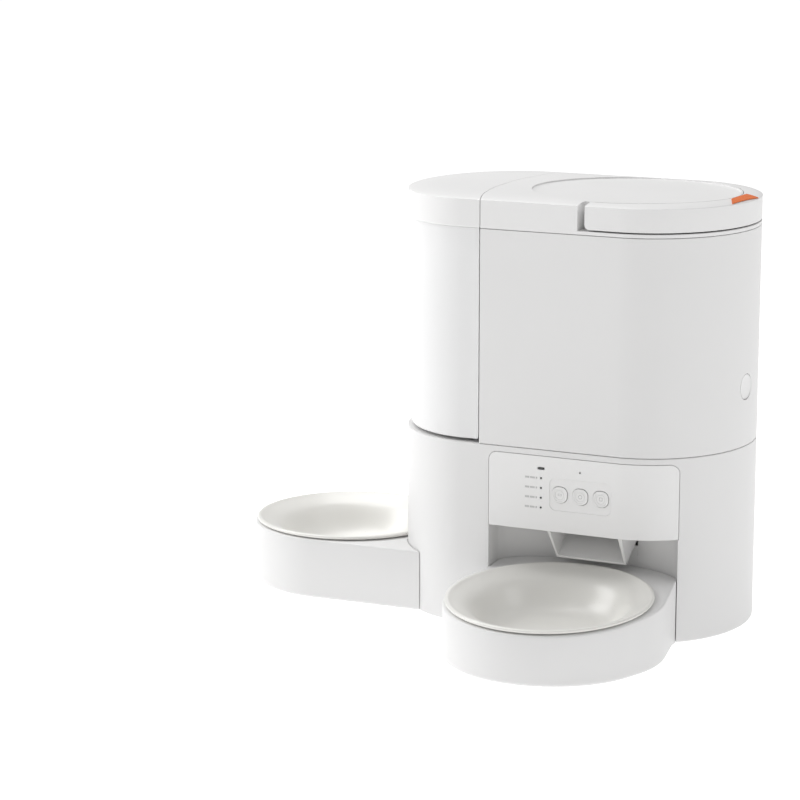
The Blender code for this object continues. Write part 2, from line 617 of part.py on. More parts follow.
def make_mechanism(plain, gear_finish, motor_finish, steel, dark_finish):
    inner = ROTOR_RADIUS + ROTOR_CLEARANCE
    left, right = ROTOR_LEFT - ROTOR_CLEARANCE, ROTOR_RIGHT + ROTOR_CLEARANCE
    housing = piece("rotor_housing", rod((ROTOR_Y, ROTOR_Z), HOUSING_RADIUS, left - HOUSING_WALL,
                                         right + HOUSING_WALL, "X", 32), plain)
    helper(housing, "DIFFERENCE", "bore", rod((ROTOR_Y, ROTOR_Z), inner, left, right, "X", 32))
    helper(housing, "DIFFERENCE", "shaft", rod((ROTOR_Y, ROTOR_Z), SHAFT_RADIUS + FIT, left - 9 * MM,
                                               right + 9 * MM, "X", 16))
    helper(housing, "DIFFERENCE", "inlet", box((KEYPAD_X - OUTLET_HALF_X, ROTOR_Y - OUTLET_HALF_Y, ROTOR_Z),
                                               (KEYPAD_X + OUTLET_HALF_X, ROTOR_Y + OUTLET_HALF_Y, TOP)))
    mouth = box((KEYPAD_X - OUTLET_HALF_X, ROTOR_Y - HOUSING_RADIUS - MM, ROTOR_Z - HOUSING_RADIUS - MM),
                (KEYPAD_X + OUTLET_HALF_X, ROTOR_Y - 8 * MM, ROTOR_Z - 9 * MM))
    helper(housing, "DIFFERENCE", "mouth", mouth)

    pivot = (KEYPAD_X, ROTOR_Y, ROTOR_Z)
    blades = []
    hub, half = 8 * MM, 1.2 * MM
    for blade in range(ROTOR_BLADES):
        middle = math.tau * blade / ROTOR_BLADES
        for radius, side in ((hub, -1), (ROTOR_RADIUS, -1), (ROTOR_RADIUS, 1), (hub, 1)):
            angle = middle + side * math.asin(half / radius)
            blades.append((ROTOR_Y + radius * math.cos(angle), ROTOR_Z + radius * math.sin(angle)))
    rotor = piece("metering_rotor", prism(blades, ROTOR_LEFT, ROTOR_RIGHT, "X"), plain, pivot)
    helper(rotor, "UNION", "shaft", rod((ROTOR_Y, ROTOR_Z), SHAFT_RADIUS, left - HOUSING_WALL + 0.2 * MM,
                                        GEAR_X + GEAR_WIDTH, "X", 16))

    gear = piece("rotor_gear", prism(gear_outline(ROTOR_Y, ROTOR_Z, GEAR_TEETH, 0), GEAR_X, GEAR_X + GEAR_WIDTH,
                                     "X"), gear_finish, (GEAR_X, ROTOR_Y, ROTOR_Z))
    helper(gear, "DIFFERENCE", "bore", rod((ROTOR_Y, ROTOR_Z), SHAFT_RADIUS + FIT, 0, DEPTH, "X", 16))
    pinion_y = ROTOR_Y + GEAR_DISTANCE
    phase = math.pi + math.pi / PINION_TEETH
    pinion_mesh = prism(gear_outline(pinion_y, ROTOR_Z, PINION_TEETH, phase), GEAR_X, GEAR_X + GEAR_WIDTH, "X")
    pinion = piece("motor_pinion", pinion_mesh, gear_finish, (GEAR_X, pinion_y, ROTOR_Z))
    shaft = rod((pinion_y, ROTOR_Z), 1.5 * MM, GEAR_X + GEAR_WIDTH - MM, GEAR_X + GEAR_WIDTH + 5 * MM, "X", 12)
    helper(pinion, "UNION", "shaft", shaft)
    motor_x = GEAR_X + GEAR_WIDTH + 2 * MM
    motor = piece("gear_motor", prism(rounded_box(pinion_y, ROTOR_Z, 13 * MM, 13 * MM, 3 * MM), motor_x,
                                      motor_x + 14 * MM, "X"), motor_finish)
    helper(motor, "UNION", "can", rod((pinion_y, ROTOR_Z), 10.5 * MM, motor_x + 13 * MM, motor_x + 32 * MM, "X"))
    helper(motor, "DIFFERENCE", "bearing", rod((pinion_y, ROTOR_Z), 1.5 * MM + FIT, motor_x - MM,
                                               motor_x + 5 * MM, "X", 12))

    inlet = piece("power_inlet", rod((0, 25 * MM), 6 * MM, HALF_DEPTH - 14 * MM, HALF_DEPTH - 0.5 * MM, "Y"),
                  dark_finish)
    helper(inlet, "DIFFERENCE", "socket", rod((0, 25 * MM), 3.6 * MM, HALF_DEPTH - 10 * MM, HALF_DEPTH, "Y", 16))
    pin = rod((0, 25 * MM), MM, HALF_DEPTH - 11 * MM, HALF_DEPTH - 2 * MM, "Y", 10)
    helper(inlet, "UNION", "pin", pin)


# ---------------------------------------------------------------- hopper


def release_turn():
    """How far the release button's face is turned from the end of the body to follow its curve."""
    x, y = body_end(RELEASE_Y) - HALF_STRAIGHT, RELEASE_Y
    return math.atan2(y / HALF_DEPTH**2, x / END_REACH**2)


def release_rod(radius, inner, outer):
    """A cylinder along the release button's axis, from inner to outer, measured from the body's surface."""
    mesh = rod((0, 0), radius, inner, outer, "X", 24)
    return placed(mesh, (body_end(RELEASE_Y), RELEASE_Y, RELEASE_Z), turn=release_turn())


def make_hopper(shell_finish, plain, button_finish):
    low, high = BASE_TOP + SEAM, LID_SEAM - SEAM
    hopper = piece("hopper_housing", ring(hopper_outline(), hopper_outline(WALL), low, high), shell_finish)
    helper(hopper, "DIFFERENCE", "release", release_rod(RELEASE_RADIUS + FIT, -8 * MM, 4 * MM))

    floor_low = low + FIT
    floor = piece("hopper_floor", prism(hopper_outline(WALL + FIT), floor_low, floor_low + HOPPER_FLOOR), plain)
    outlet = rounded_box(KEYPAD_X, ROTOR_Y, OUTLET_HALF_X, OUTLET_HALF_Y, 5 * MM)
    spout = offset(outlet, 0.5 * MM)
    helper(floor, "DIFFERENCE", "outlet", prism(offset(spout, -FIT), 0, TOP))

    top_outline = hopper_outline(WALL + 2 * FIT)
    count = len(top_outline)
    outlet_points = resampled(spout, top_outline, (KEYPAD_X, ROTOR_Y))
    thick = 2 * MM
    inner_top = hopper_outline(WALL + 2 * FIT + thick)
    inner_outlet = resampled(offset(spout, thick), top_outline, (KEYPAD_X, ROTOR_Y))
    assert len(inner_top) == count
    rim_z, neck_z = 215 * MM, floor_low + HOPPER_FLOOR + 4 * MM
    levels = [
        (outlet_points, floor_low),
        (outlet_points, neck_z),
        (top_outline, rim_z - 4 * MM),
        (top_outline, rim_z),
        (inner_top, rim_z),
        (inner_top, rim_z - 3.2 * MM),
        (inner_outlet, neck_z + 1.2 * MM),
        (inner_outlet, floor_low),
    ]
    piece("hopper_funnel", loft(levels), plain)

    button = piece("hopper_release_button", release_rod(RELEASE_RADIUS, -WALL - 3 * MM, -0.4 * MM), button_finish)
    helper(button, "UNION", "flange", release_rod(RELEASE_RADIUS + 1.5 * MM, -WALL - 3 * MM, -WALL - 1.2 * MM))


def resampled(outline, like, centre):
    """Points of outline in the directions from centre of the points of another outline."""
    cx, cy = centre
    found = []
    for x, y in like:
        direction = Vector((x - cx, y - cy)).normalized()
        best = None
        for (ax, ay), (bx, by) in zip(outline, outline[1:] + outline[:1]):
            edge = Vector((bx - ax, by - ay))
            start = Vector((ax - cx, ay - cy))
            cross = direction.x * edge.y - direction.y * edge.x
            if abs(cross) < 1e-12:
                continue
            along = (start.x * edge.y - start.y * edge.x) / cross
            share = (start.x * direction.y - start.y * direction.x) / cross
            if along > 0 and -1e-6 <= share <= 1 + 1e-6 and (best is None or along < best):
                best = along
        found.append((cx + direction.x * best, cy + direction.y * best))
    return found


def make_lid(shell_finish, plain, rubber, steel, tab_finish):
    flange_top = LID_SEAM + LID_FLANGE
    lid = piece("hopper_lid", prism(hopper_outline(), LID_SEAM, SUMMIT + MM), shell_finish)
    helper(lid, "INTERSECT", "crown", crown(0))
    around = cutter("hopper_lid_handle_space", box((SLOT_LEFT, -DEPTH, flange_top), (2 * DEPTH, DEPTH, 2 * TOP)))
    helper(around, "DIFFERENCE", "island", prism(oval(), 0, 3 * TOP))
    cut(lid, around)
    dish_floor = SUMMIT - DISH_DEPTH
    helper(lid, "DIFFERENCE", "dish", prism(oval(-DISH_RIM, -DISH_RIM), dish_floor, SUMMIT + MM))
    hollow_top = dish_floor - LID_SKIN
    seal_inner = WALL + FIT + SEAL_THICK
    plug_outer, plug_inner = seal_inner + FIT, seal_inner + FIT + LID_SKIN
    hollow = prism(oval(-LID_SKIN, -LID_SKIN), 0, hollow_top)
    helper(lid, "DIFFERENCE", "hollow", hollow)
    left_hollow = cutter("hopper_lid_left_hollow", prism(hopper_outline(WALL), flange_top, TOP - LID_SKIN))
    helper(left_hollow, "INTERSECT", "side", box((-DEPTH, -DEPTH, 0), (SLOT_LEFT - LID_SKIN, DEPTH, TOP)))
    mouth = cutter("hopper_lid_mouth", prism(hopper_outline(plug_inner), 0, flange_top + MM))
    helper(mouth, "INTERSECT", "side", box((-DEPTH, -DEPTH, -MM), (SLOT_LEFT - LID_SKIN, DEPTH, TOP)))
    cut(lid, left_hollow, mouth)
    plug = ring(hopper_outline(plug_outer), hopper_outline(plug_inner), LID_SEAM - PLUG_DEPTH, LID_SEAM + MM)
    helper(lid, "UNION", "plug", plug)
    helper(lid, "DIFFERENCE", "pin", rod((PIVOT_X, PIVOT_Z), PIN_RADIUS + FIT, -DEPTH, DEPTH, "Y", 16))

    seal_low = LID_SEAM - PLUG_DEPTH + 2 * MM
    piece("lid_seal", ring(hopper_outline(WALL + FIT), hopper_outline(seal_inner), seal_low,
                           seal_low + SEAL_HEIGHT), rubber)

    pin_start = OVAL_HALF_DEPTH - LID_SKIN - 4 * MM
    pin_end = HALF_DEPTH - LID_SKIN - PIN_END_GAP
    for name, sign in (("handle_pin_front", -1), ("handle_pin_rear", 1)):
        ends = sorted((sign * pin_start, sign * pin_end))
        piece(name, rod((PIVOT_X, PIVOT_Z), PIN_RADIUS, ends[0], ends[1], "Y", 16), steel)

    box_x, half, box_top = OVAL_X - 20 * MM, 26 * MM, hollow_top - FIT
    tray = piece("desiccant_box", prism(rounded_box(box_x, 0, half, half, 5 * MM), box_top - 16 * MM, box_top),
                 plain)
    helper(tray, "DIFFERENCE", "inside", prism(rounded_box(box_x, 0, half - 1.8 * MM, half - 1.8 * MM, 4 * MM),
                                               box_top - 20 * MM, box_top - 2 * MM))
    cover = piece("desiccant_cover", prism(rounded_box(box_x, 0, half + 1.5 * MM, half + 1.5 * MM, 6 * MM),
                                           box_top - 18.4 * MM, box_top - 16.3 * MM), plain)
    for index in range(5):
        y = (index - 2) * 8 * MM
        vent = box((box_x - 16 * MM, y - 1.2 * MM, 0), (box_x + 16 * MM, y + 1.2 * MM, TOP))
        helper(cover, "DIFFERENCE", f"vent_{index}", vent)
    make_handle(shell_finish, tab_finish)


def make_handle(shell_finish, tab_finish):
    """The carrying handle: a horseshoe around the oval that swings up about the two pins."""
    pivot = (PIVOT_X, 0, PIVOT_Z)
    side = [(2 * DEPTH, HANDLE_BOTTOM), (2 * DEPTH, SUMMIT + MM), (SLOT_RIGHT, SUMMIT + MM)]
    side += arc(SLOT_RIGHT + HANDLE_CORNER, HANDLE_BOTTOM + HANDLE_CORNER, HANDLE_CORNER, HANDLE_CORNER, 180, 270, 6)
    handle = piece("lid_handle", prism(side, -DEPTH, DEPTH, "Y"), shell_finish, pivot)
    helper(handle, "INTERSECT", "crown", crown(0))
    helper(handle, "DIFFERENCE", "oval", prism(oval(HANDLE_GAP_END, HANDLE_GAP_SIDE), 0, 2 * TOP))
    hollow_cut = cutter("lid_handle_hollow", prism(body_outline(LID_SKIN), 0, TOP - LID_SKIN))
    helper(hollow_cut, "DIFFERENCE", "inner_wall",
           prism(oval(HANDLE_GAP_END + LID_SKIN, HANDLE_GAP_SIDE + LID_SKIN), -MM, 2 * TOP))
    helper(hollow_cut, "DIFFERENCE", "end_wall", box((-DEPTH, -DEPTH, -MM), (SLOT_RIGHT + LID_SKIN, DEPTH, TOP)))
    cut(handle, hollow_cut)
    bore_end = HALF_DEPTH - LID_SKIN - PIN_END_GAP / 2
    helper(handle, "DIFFERENCE", "bore", rod((PIVOT_X, PIVOT_Z), PIN_RADIUS + FIT, -bore_end, bore_end, "Y", 16))

    def tab_seat(point):
        share = min((body_end(point[1]) - point[0]) / CROWN_RUN, 1)
        return crown_height(max(share, 0)) + TAB_LIFT

    inner_x = OVAL_X + OVAL_REACH + HANDLE_GAP_END + MM
    outer_x = body_end(abs(TAB_Y) + TAB_WIDTH / 2) - MM
    strip = [(inner_x, TAB_Y - TAB_WIDTH / 2), (outer_x, TAB_Y - TAB_WIDTH / 2), (outer_x, TAB_Y + TAB_WIDTH / 2),
             (inner_x, TAB_Y + TAB_WIDTH / 2)]
    tab = prism(strip, tab_seat, lambda point: tab_seat(point) + TAB_THICK)
    piece("pull_tab", tab, tab_finish, pivot)


# ---------------------------------------------------------------- tank and water path


def make_tank(clear_finish, shell_finish, plain, rubber):
    low, high = BASE_TOP + TANK_LIFT, LID_SEAM - FIT
    gap = SEAM + TANK_WALL / 4
    outer, inner = tank_outline(TANK_INSET, gap), tank_outline(TANK_INSET + TANK_WALL, gap + TANK_WALL)
    tank = piece("water_tank", prism(outer, low, high), clear_finish)
    helper(tank, "DIFFERENCE", "inside", prism(inner, low + TANK_FLOOR, TOP))
    helper(tank, "DIFFERENCE", "neck", rod((VALVE_X, 0), VALVE_RADIUS - 3 * MM + FIT, 0, TOP))

    lid = piece("tank_lid", prism(tank_outline(0, SEAM), LID_SEAM, SUMMIT + MM), shell_finish)
    helper(lid, "INTERSECT", "crown", crown(0))
    under = tank_outline(WALL, SEAM + WALL)
    helper(lid, "DIFFERENCE", "hollow", prism(under, 0, TOP - LID_SKIN))
    seal_gap = TANK_WALL + FIT + SEAL_THICK + FIT
    plug_outer = tank_outline(TANK_INSET + seal_gap, gap + seal_gap)
    plug_inner = tank_outline(TANK_INSET + seal_gap + LID_SKIN, gap + seal_gap + LID_SKIN)
    helper(lid, "UNION", "plug", ring(plug_outer, plug_inner, LID_SEAM - PLUG_DEPTH, TOP - MM))
    seal_low = LID_SEAM - PLUG_DEPTH + 2 * MM
    seal = ring(tank_outline(TANK_INSET + TANK_WALL + FIT, gap + TANK_WALL + FIT),
                tank_outline(TANK_INSET + TANK_WALL + FIT + SEAL_THICK, gap + TANK_WALL + FIT + SEAL_THICK),
                seal_low, seal_low + SEAL_HEIGHT)
    piece("tank_lid_seal", seal, rubber)

    neck = VALVE_RADIUS - 3 * MM
    valve_low = BASE_TOP - CUP_DEPTH + 6 * MM
    valve_profile = [
        (4.5 * MM, valve_low),
        (VALVE_RADIUS, valve_low),
        (VALVE_RADIUS, low - FIT),
        (neck, low - FIT),
        (neck, low + TANK_FLOOR + 5 * MM),
        (4.5 * MM, low + TANK_FLOOR + 5 * MM),
    ]
    piece("tank_valve_body", placed(turned(valve_profile, 24), (VALVE_X, 0, 0)), plain)
    plunger_low = BASE_TOP - CUP_DEPTH + 4.3 * MM
    plunger_profile = [
        (0, plunger_low),
        (3.6 * MM, plunger_low),
        (3.6 * MM, low + TANK_FLOOR + 6.5 * MM),
        (8 * MM, low + TANK_FLOOR + 6.5 * MM),
        (8 * MM, low + TANK_FLOOR + 9 * MM),
        (0, low + TANK_FLOOR + 9 * MM),
    ]
    piece("valve_plunger", placed(turned(plunger_profile, 20), (VALVE_X, 0, 0)), rubber)

    cup_low = BASE_TOP - CUP_DEPTH
    cup_profile = [
        (0, cup_low - CUP_WALL),
        (CUP_RADIUS, cup_low - CUP_WALL),
        (CUP_RADIUS, BASE_TOP + FIT),
        (CUP_RADIUS + 3 * MM, BASE_TOP + FIT),
        (CUP_RADIUS + 3 * MM, BASE_TOP + FIT + 1.2 * MM),
        (CUP_RADIUS - CUP_WALL, BASE_TOP + FIT + 1.2 * MM),
        (CUP_RADIUS - CUP_WALL, cup_low),
        (2.5 * MM, cup_low),
        (2.5 * MM, cup_low + 4 * MM),
        (0, cup_low + 4 * MM),
    ]
    piece("valve_cup", placed(turned(cup_profile, 24), (VALVE_X, 0, 0)), plain)

    ceiling = ALCOVE_TOP + WALL
    nozzle_profile = [
        (1.8 * MM, ALCOVE_TOP - 12 * MM),
        (HOSE_RADIUS, ALCOVE_TOP - 12 * MM),
        (HOSE_RADIUS + 2 * MM, ALCOVE_TOP - 2 * MM),
        (HOSE_RADIUS + 2 * MM, ceiling + 3 * MM),
        (1.8 * MM, ceiling + 3 * MM),
    ]
    piece("water_nozzle", placed(turned(nozzle_profile, 20), (NOZZLE_X, 0, 0)), plain)
    make_hose((VALVE_X, cup_low - CUP_WALL - FIT), (NOZZLE_X, ceiling + 3 * MM + FIT), rubber)


def make_hose(start, end, finish):
    """A short hose from under the valve cup to the nozzle, a smooth S in the plane y = 0."""
    curve = bpy.data.curves.new("water_hose", "CURVE")
    curve.dimensions = "3D"
    curve.bevel_depth = HOSE_RADIUS
    curve.bevel_resolution = 2
    curve.use_fill_caps = True
    steps = 12
    spline = curve.splines.new("POLY")
    spline.points.add(steps)
    for i in range(steps + 1):
        share = i / steps
        middle = min(max((share - 0.12) / 0.76, 0), 1)
        ease = middle * middle * (3 - 2 * middle)
        x = start[0] + (end[0] - start[0]) * ease
        z = start[1] + (end[1] - start[1]) * share
        spline.points[i].co = (x, 0, z, 1)
    curve.materials.append(finish)
    hose = bpy.data.objects.new("water_hose", curve)
    hose.parent = bpy.data.objects["frame_origin"]
    bpy.context.scene.collection.objects.link(hose)


# ---------------------------------------------------------------- trays and bowls


def bowl_profile():
    """A heavy ceramic bowl: rolled rim, sloping sides, flat bottom and a foot ring. Height 0 is the rim's top."""
    depth = BOWL_DEPTH
    rim = BOWL_RADIUS
    inside = [
        (rim - 2.6 * MM, 0),
        (rim - 6 * MM, -1.2 * MM),
        (rim - 12 * MM, -6.5 * MM),
        (rim - 20 * MM, -0.55 * depth),
        (rim - 29 * MM, -0.88 * depth),
        (rim - 38 * MM, -depth),
    ]
    outside = [
        (0, -depth - 3 * MM),
        (rim - 40 * MM, -depth - 3 * MM),
        (rim - 41 * MM, -depth - 4.5 * MM),
        (rim - 35 * MM, -depth - 4.5 * MM),
        (rim - 27 * MM, -0.95 * depth - 2 * MM),
        (rim - 14 * MM, -0.5 * depth - 3 * MM),
        (rim - 6.6 * MM, -6 * MM),
        (rim - 6.2 * MM, -RIM_HEIGHT + FIT),
        (rim - 3 * MM, -RIM_HEIGHT + FIT),
        (rim - 0.5 * MM, -2.6 * MM),
        (rim, -1.4 * MM),
        (rim - 0.8 * MM, -0.3 * MM),
    ]
    return outside + inside + [(0, -depth)]


def tangent_angle(centre, corner):
    """The direction from the circle's centre of the point where a line from the corner touches it."""
    away = Vector(corner) - Vector(centre)
    return math.atan2(away.y, away.x), math.acos(TRAY_RADIUS / away.length)


def food_tray_outline():
    centre = (ALCOVE_MIDDLE, FOOD_BOWL_Y)
    gap = TRAY_GAP
    left_mouth = (ALCOVE_LEFT + gap, body_front(ALCOVE_LEFT) - gap)
    right_mouth = (ALCOVE_RIGHT - gap, body_front(ALCOVE_RIGHT) - gap)
    direction_r, spread_r = tangent_angle(centre, right_mouth)
    direction_l, spread_l = tangent_angle(centre, left_mouth)
    start = math.degrees(direction_l + spread_l) % 360
    end = math.degrees(direction_r - spread_r) % 360
    if end < start:
        end += 360
    front = arc(*centre, TRAY_RADIUS, TRAY_RADIUS, start, end, 36)
    springing = -HALF_DEPTH + ALCOVE_DEPTH - ALCOVE_ROUND
    back = arc(ALCOVE_MIDDLE, springing, ALCOVE_HALF - gap, ALCOVE_ROUND - gap, 0, 180, END_STEPS)
    back = [p for p in back if p[0] < ALCOVE_MIDDLE or p[1] > right_mouth[1] + MM]
    return front + [right_mouth] + back + [left_mouth]


def water_tray_outline():
    centre = (WATER_BOWL_X, 0)
    gap = TRAY_GAP
    corner_x = -body_end(WATER_TRAY_HALF, -gap)
    direction, spread = tangent_angle(centre, (corner_x, WATER_TRAY_HALF))
    touch = math.degrees(direction + spread)
    round_end = arc(*centre, TRAY_RADIUS, TRAY_RADIUS, touch, 360 - touch, 36)

    def along_body(start_y, end_y):
        steps = 5
        heights = [start_y + (end_y - start_y) * i / steps for i in range(steps + 1)]
        return [(-body_end(y, -gap), y) for y in heights]

    half = SIDE_HALF_WIDTH - gap
    springing = -BODY_END + SIDE_DEPTH - SIDE_ROUND
    tongue = arc(springing, 0, SIDE_ROUND - gap, half, -90, 90, 12)
    return round_end + along_body(-WATER_TRAY_HALF, -half) + tongue + along_body(half, WATER_TRAY_HALF)


def make_tray(name, outline, centre, top, tilt, finish, rubber):
    """A tray with a floor, a wall and a deck that holds the bowl by its rim."""
    slope = math.tan(tilt)

    def deck(point):
        return top + (point[1] - centre[1]) * slope

    def deck_under(point):
        return deck(point) - TRAY_WALL

    low = BASE_BOTTOM
    tray = piece(name, prism(outline, low, deck), finish)
    inner = offset(distinct(outline), TRAY_WALL)
    helper(tray, "DIFFERENCE", "inside", prism(inner, low + TRAY_WALL, deck_under))
    opening = placed(rod((0, 0), BOWL_RADIUS - 5.2 * MM, -20 * MM, 30 * MM, steps=ROUND_STEPS),
                     (*centre, top), tilt)
    helper(tray, "DIFFERENCE", "opening", opening)
    pad = [(TRAY_RADIUS - 10 * MM, 0), (TRAY_RADIUS - 10 * MM + PAD_WIDTH, 0),
           (TRAY_RADIUS - 10 * MM + PAD_WIDTH, low - FIT / 2), (TRAY_RADIUS - 10 * MM, low - FIT / 2)]
    pad_name = name.replace("tray", "tray_foot_ring")
    piece(pad_name, placed(turned(pad, 36), (*centre, 0)), rubber)


def make_bowls(finish, tray_finish, rubber):
    food_centre = (ALCOVE_MIDDLE, FOOD_BOWL_Y)
    water_centre = (WATER_BOWL_X, 0)
    make_tray("food_tray", food_tray_outline(), food_centre, FOOD_TRAY_TOP, FOOD_TILT, tray_finish, rubber)
    make_tray("water_tray", water_tray_outline(), water_centre, WATER_TRAY_TOP, 0, tray_finish, rubber)
    for name, centre, top, tilt in (("food_bowl", food_centre, FOOD_TRAY_TOP, FOOD_TILT),
                                    ("water_bowl", water_centre, WATER_TRAY_TOP, 0)):
        bowl = placed(turned(bowl_profile()), (*centre, top + RIM_HEIGHT), tilt)
        piece(name, bowl, finish, (*centre, top + RIM_HEIGHT))


def main():
    clear_scene()
    origin = bpy.data.objects.new("frame_origin", None)
    bpy.context.scene.collection.objects.link(origin)
    left, right = WATER_BOWL_X - TRAY_RADIUS, BODY_END
    front, back = FOOD_BOWL_Y - TRAY_RADIUS, HALF_DEPTH
    origin.location = (-(left + right) / 2, -(front + back) / 2, 0)

    satin = material("satin_white_shell", WHITE, 0.42)
    button = material("white_button", (0.9, 0.9, 0.9, 1), 0.35)
    ceramic = material("white_ceramic", (0.83, 0.81, 0.76, 1), 0.12)
    frosted = material("frosted_tank", (0.84, 0.86, 0.87, 1), 0.3)
    inner = material("inner_plastic", (0.75, 0.76, 0.77, 1), 0.5)
    dark = material("dark_plastic", (0.04, 0.04, 0.045, 1), 0.45)
    lens = material("smoked_lens", (0.02, 0.02, 0.02, 1), 0.2)
    rubber = material("grey_rubber", (0.35, 0.35, 0.36, 1), 0.8)
    steel = material("steel", (0.6, 0.6, 0.6, 1), 0.3, 1.0)
    board = material("circuit_board_green", (0.03, 0.16, 0.07, 1), 0.5)
    gears = material("gear_nylon", (0.8, 0.78, 0.7, 1), 0.45)
    ribbon = material("orange_ribbon", (0.8, 0.24, 0.03, 1), 0.8)

    make_base(satin, inner, rubber, steel)
    make_panel(satin, button, lens, board)
    make_chute(satin)
    make_mechanism(inner, gears, steel, steel, dark)
    make_hopper(satin, inner, button)
    make_lid(satin, inner, rubber, steel, ribbon)
    make_tank(frosted, satin, inner, rubber)
    make_bowls(ceramic, satin, rubber)


main()
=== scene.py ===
# %% [markdown]
# # An automatic feeder for a small animal
# This lesson dresses a finished engineering model of a pet feeder. The body is one long tub with round ends:
# a base, a food hopper with its lid and carrying handle on the right, a frosted water tank with its own lid
# on the left, and two ceramic bowls in trays. The engineering model is loaded first as a fixed frame. Each
# visible cover is then modelled again with finer curves and soft edges, and rides on the body it belongs to.

# %% Load the fixed frame
import json
import math

import bpy
from mathutils import Matrix, Vector

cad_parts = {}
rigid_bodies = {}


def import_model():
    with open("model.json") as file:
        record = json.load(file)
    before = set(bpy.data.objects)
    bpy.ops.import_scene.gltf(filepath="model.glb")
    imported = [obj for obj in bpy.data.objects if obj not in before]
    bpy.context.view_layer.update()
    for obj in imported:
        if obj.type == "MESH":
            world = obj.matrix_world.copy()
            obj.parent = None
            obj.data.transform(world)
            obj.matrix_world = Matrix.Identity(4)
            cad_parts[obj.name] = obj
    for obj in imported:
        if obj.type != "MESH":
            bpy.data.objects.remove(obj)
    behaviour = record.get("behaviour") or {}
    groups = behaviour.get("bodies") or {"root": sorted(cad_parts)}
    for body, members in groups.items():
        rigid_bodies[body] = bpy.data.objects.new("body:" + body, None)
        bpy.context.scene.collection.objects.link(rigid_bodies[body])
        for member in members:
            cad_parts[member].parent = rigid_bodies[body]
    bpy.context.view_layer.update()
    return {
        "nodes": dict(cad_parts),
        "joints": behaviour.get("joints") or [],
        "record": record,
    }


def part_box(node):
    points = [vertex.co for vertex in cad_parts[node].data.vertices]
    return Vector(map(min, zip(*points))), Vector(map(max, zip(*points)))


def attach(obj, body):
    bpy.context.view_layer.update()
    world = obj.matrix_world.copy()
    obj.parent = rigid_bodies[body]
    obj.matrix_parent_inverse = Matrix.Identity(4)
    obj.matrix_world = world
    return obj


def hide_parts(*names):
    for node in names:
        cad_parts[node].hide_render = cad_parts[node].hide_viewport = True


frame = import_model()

MM = 0.001

# %% [markdown]
# ## The shared sizes
# Most sizes can be read from the frame itself, because every node knows the box that it fills. The rest are
# the walls, gaps and roundings that a mould maker would write on a drawing. Naming each one once keeps the
# covers in step with each other: the hopper, the tank and both lids are all cut from the same long outline.

# %% Sizes of the body
base_low, base_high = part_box("base_housing")
HUB = (base_low + base_high) / 2  # the middle of the body seen from above
HALF_LENGTH = (base_high.x - base_low.x) / 2
HALF_DEPTH = (base_high.y - base_low.y) / 2
END_REACH = 76.5 * MM  # how far each rounded end reaches beyond the straight sides
HALF_STRAIGHT = HALF_LENGTH - END_REACH
BASE_BOTTOM, BASE_TOP = base_low.z, base_high.z
WALL = 2.6 * MM
FIT = 0.3 * MM
LID_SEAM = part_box("hopper_housing")[1].z + 0.4 * MM
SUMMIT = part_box("hopper_lid")[1].z
CROWN = 2.8 * MM  # the lids' rise above their edge
CROWN_RUN = 28 * MM  # and the distance it takes
TOP = SUMMIT - CROWN
SPLIT_RADIUS = 288.5 * MM  # the curved line where the hopper meets the tank
SPLIT_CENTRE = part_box("hopper_housing")[0].x + SPLIT_RADIUS
print("body", round(2 * HALF_LENGTH / MM, 1), "x", round(2 * HALF_DEPTH / MM, 1), "mm")

# %% [markdown]
# ## The modeller's hands
# An operator works on whatever is selected, and the loaded nodes arrive selected, so every step begins by
# clearing the selection. `pick` chooses vertices, edges or faces by where they are, the way a hand would with
# a box selection, but it gives the same result each time.

# %% Select and edit
def clear():
    if bpy.context.object and bpy.context.object.mode != "OBJECT":
        bpy.ops.object.mode_set(mode="OBJECT")
    bpy.ops.object.select_all(action="DESELECT")


def hold(piece):
    """Makes this the one selected, active piece."""
    clear()
    piece.select_set(True)
    bpy.context.view_layer.objects.active = piece
    return piece


def pick(piece, kind, test):
    """Enters edit mode with only those vertices, edges or faces selected whose middle passes the test."""
    hold(piece)
    mesh = piece.data
    for group in (mesh.vertices, mesh.edges, mesh.polygons):
        group.foreach_set("select", [False] * len(group))
    bpy.context.tool_settings.mesh_select_mode = (kind == "VERT", kind == "EDGE", kind == "FACE")
    count = 0
    if kind == "VERT":
        for vertex in mesh.vertices:
            vertex.select = test(vertex.co)
            count += vertex.select
    elif kind == "EDGE":
        for edge in mesh.edges:
            edge.select = all(test(mesh.vertices[v].co) for v in edge.vertices)
            count += edge.select
    else:
        for face in mesh.polygons:
            face.select = test(face.center, face.normal)
            count += face.select
    bpy.ops.object.mode_set(mode="EDIT")
    return count


def named(name):
    """Names the primitive just added and lets its mesh hold its place."""
    piece = bpy.context.active_object
    piece.name = piece.data.name = name
    hold(piece)
    bpy.ops.object.transform_apply(location=True, rotation=True, scale=True)
    return piece


print("ready to select by place")

# %% [markdown]
# ## Drums, stadiums and blocks
# A long tub with round ends could be drawn as a curve and extruded. Here it starts as a plain cylinder
# instead: the cylinder is stretched to the oval of one end, and then its two halves are pulled apart along X,
# which leaves straight sides between them. The same trick makes the alcoves that the trays slide into.

# %% Basic solids
def drum(name, centre, reach_x, reach_y, low, high, sides=96):
    clear()
    middle = (centre[0], centre[1], (low + high) / 2)
    bpy.ops.mesh.primitive_cylinder_add(vertices=sides, radius=1, depth=high - low, location=middle,
                                        rotation=(0, 0, math.pi / sides))
    piece = named(name)
    pick(piece, "VERT", lambda place: True)
    bpy.ops.transform.resize(value=(reach_x, reach_y, 1), center_override=middle)
    clear()
    return piece


def pull(piece, test, by):
    pick(piece, "VERT", test)
    bpy.ops.transform.translate(value=by)
    clear()
    return piece


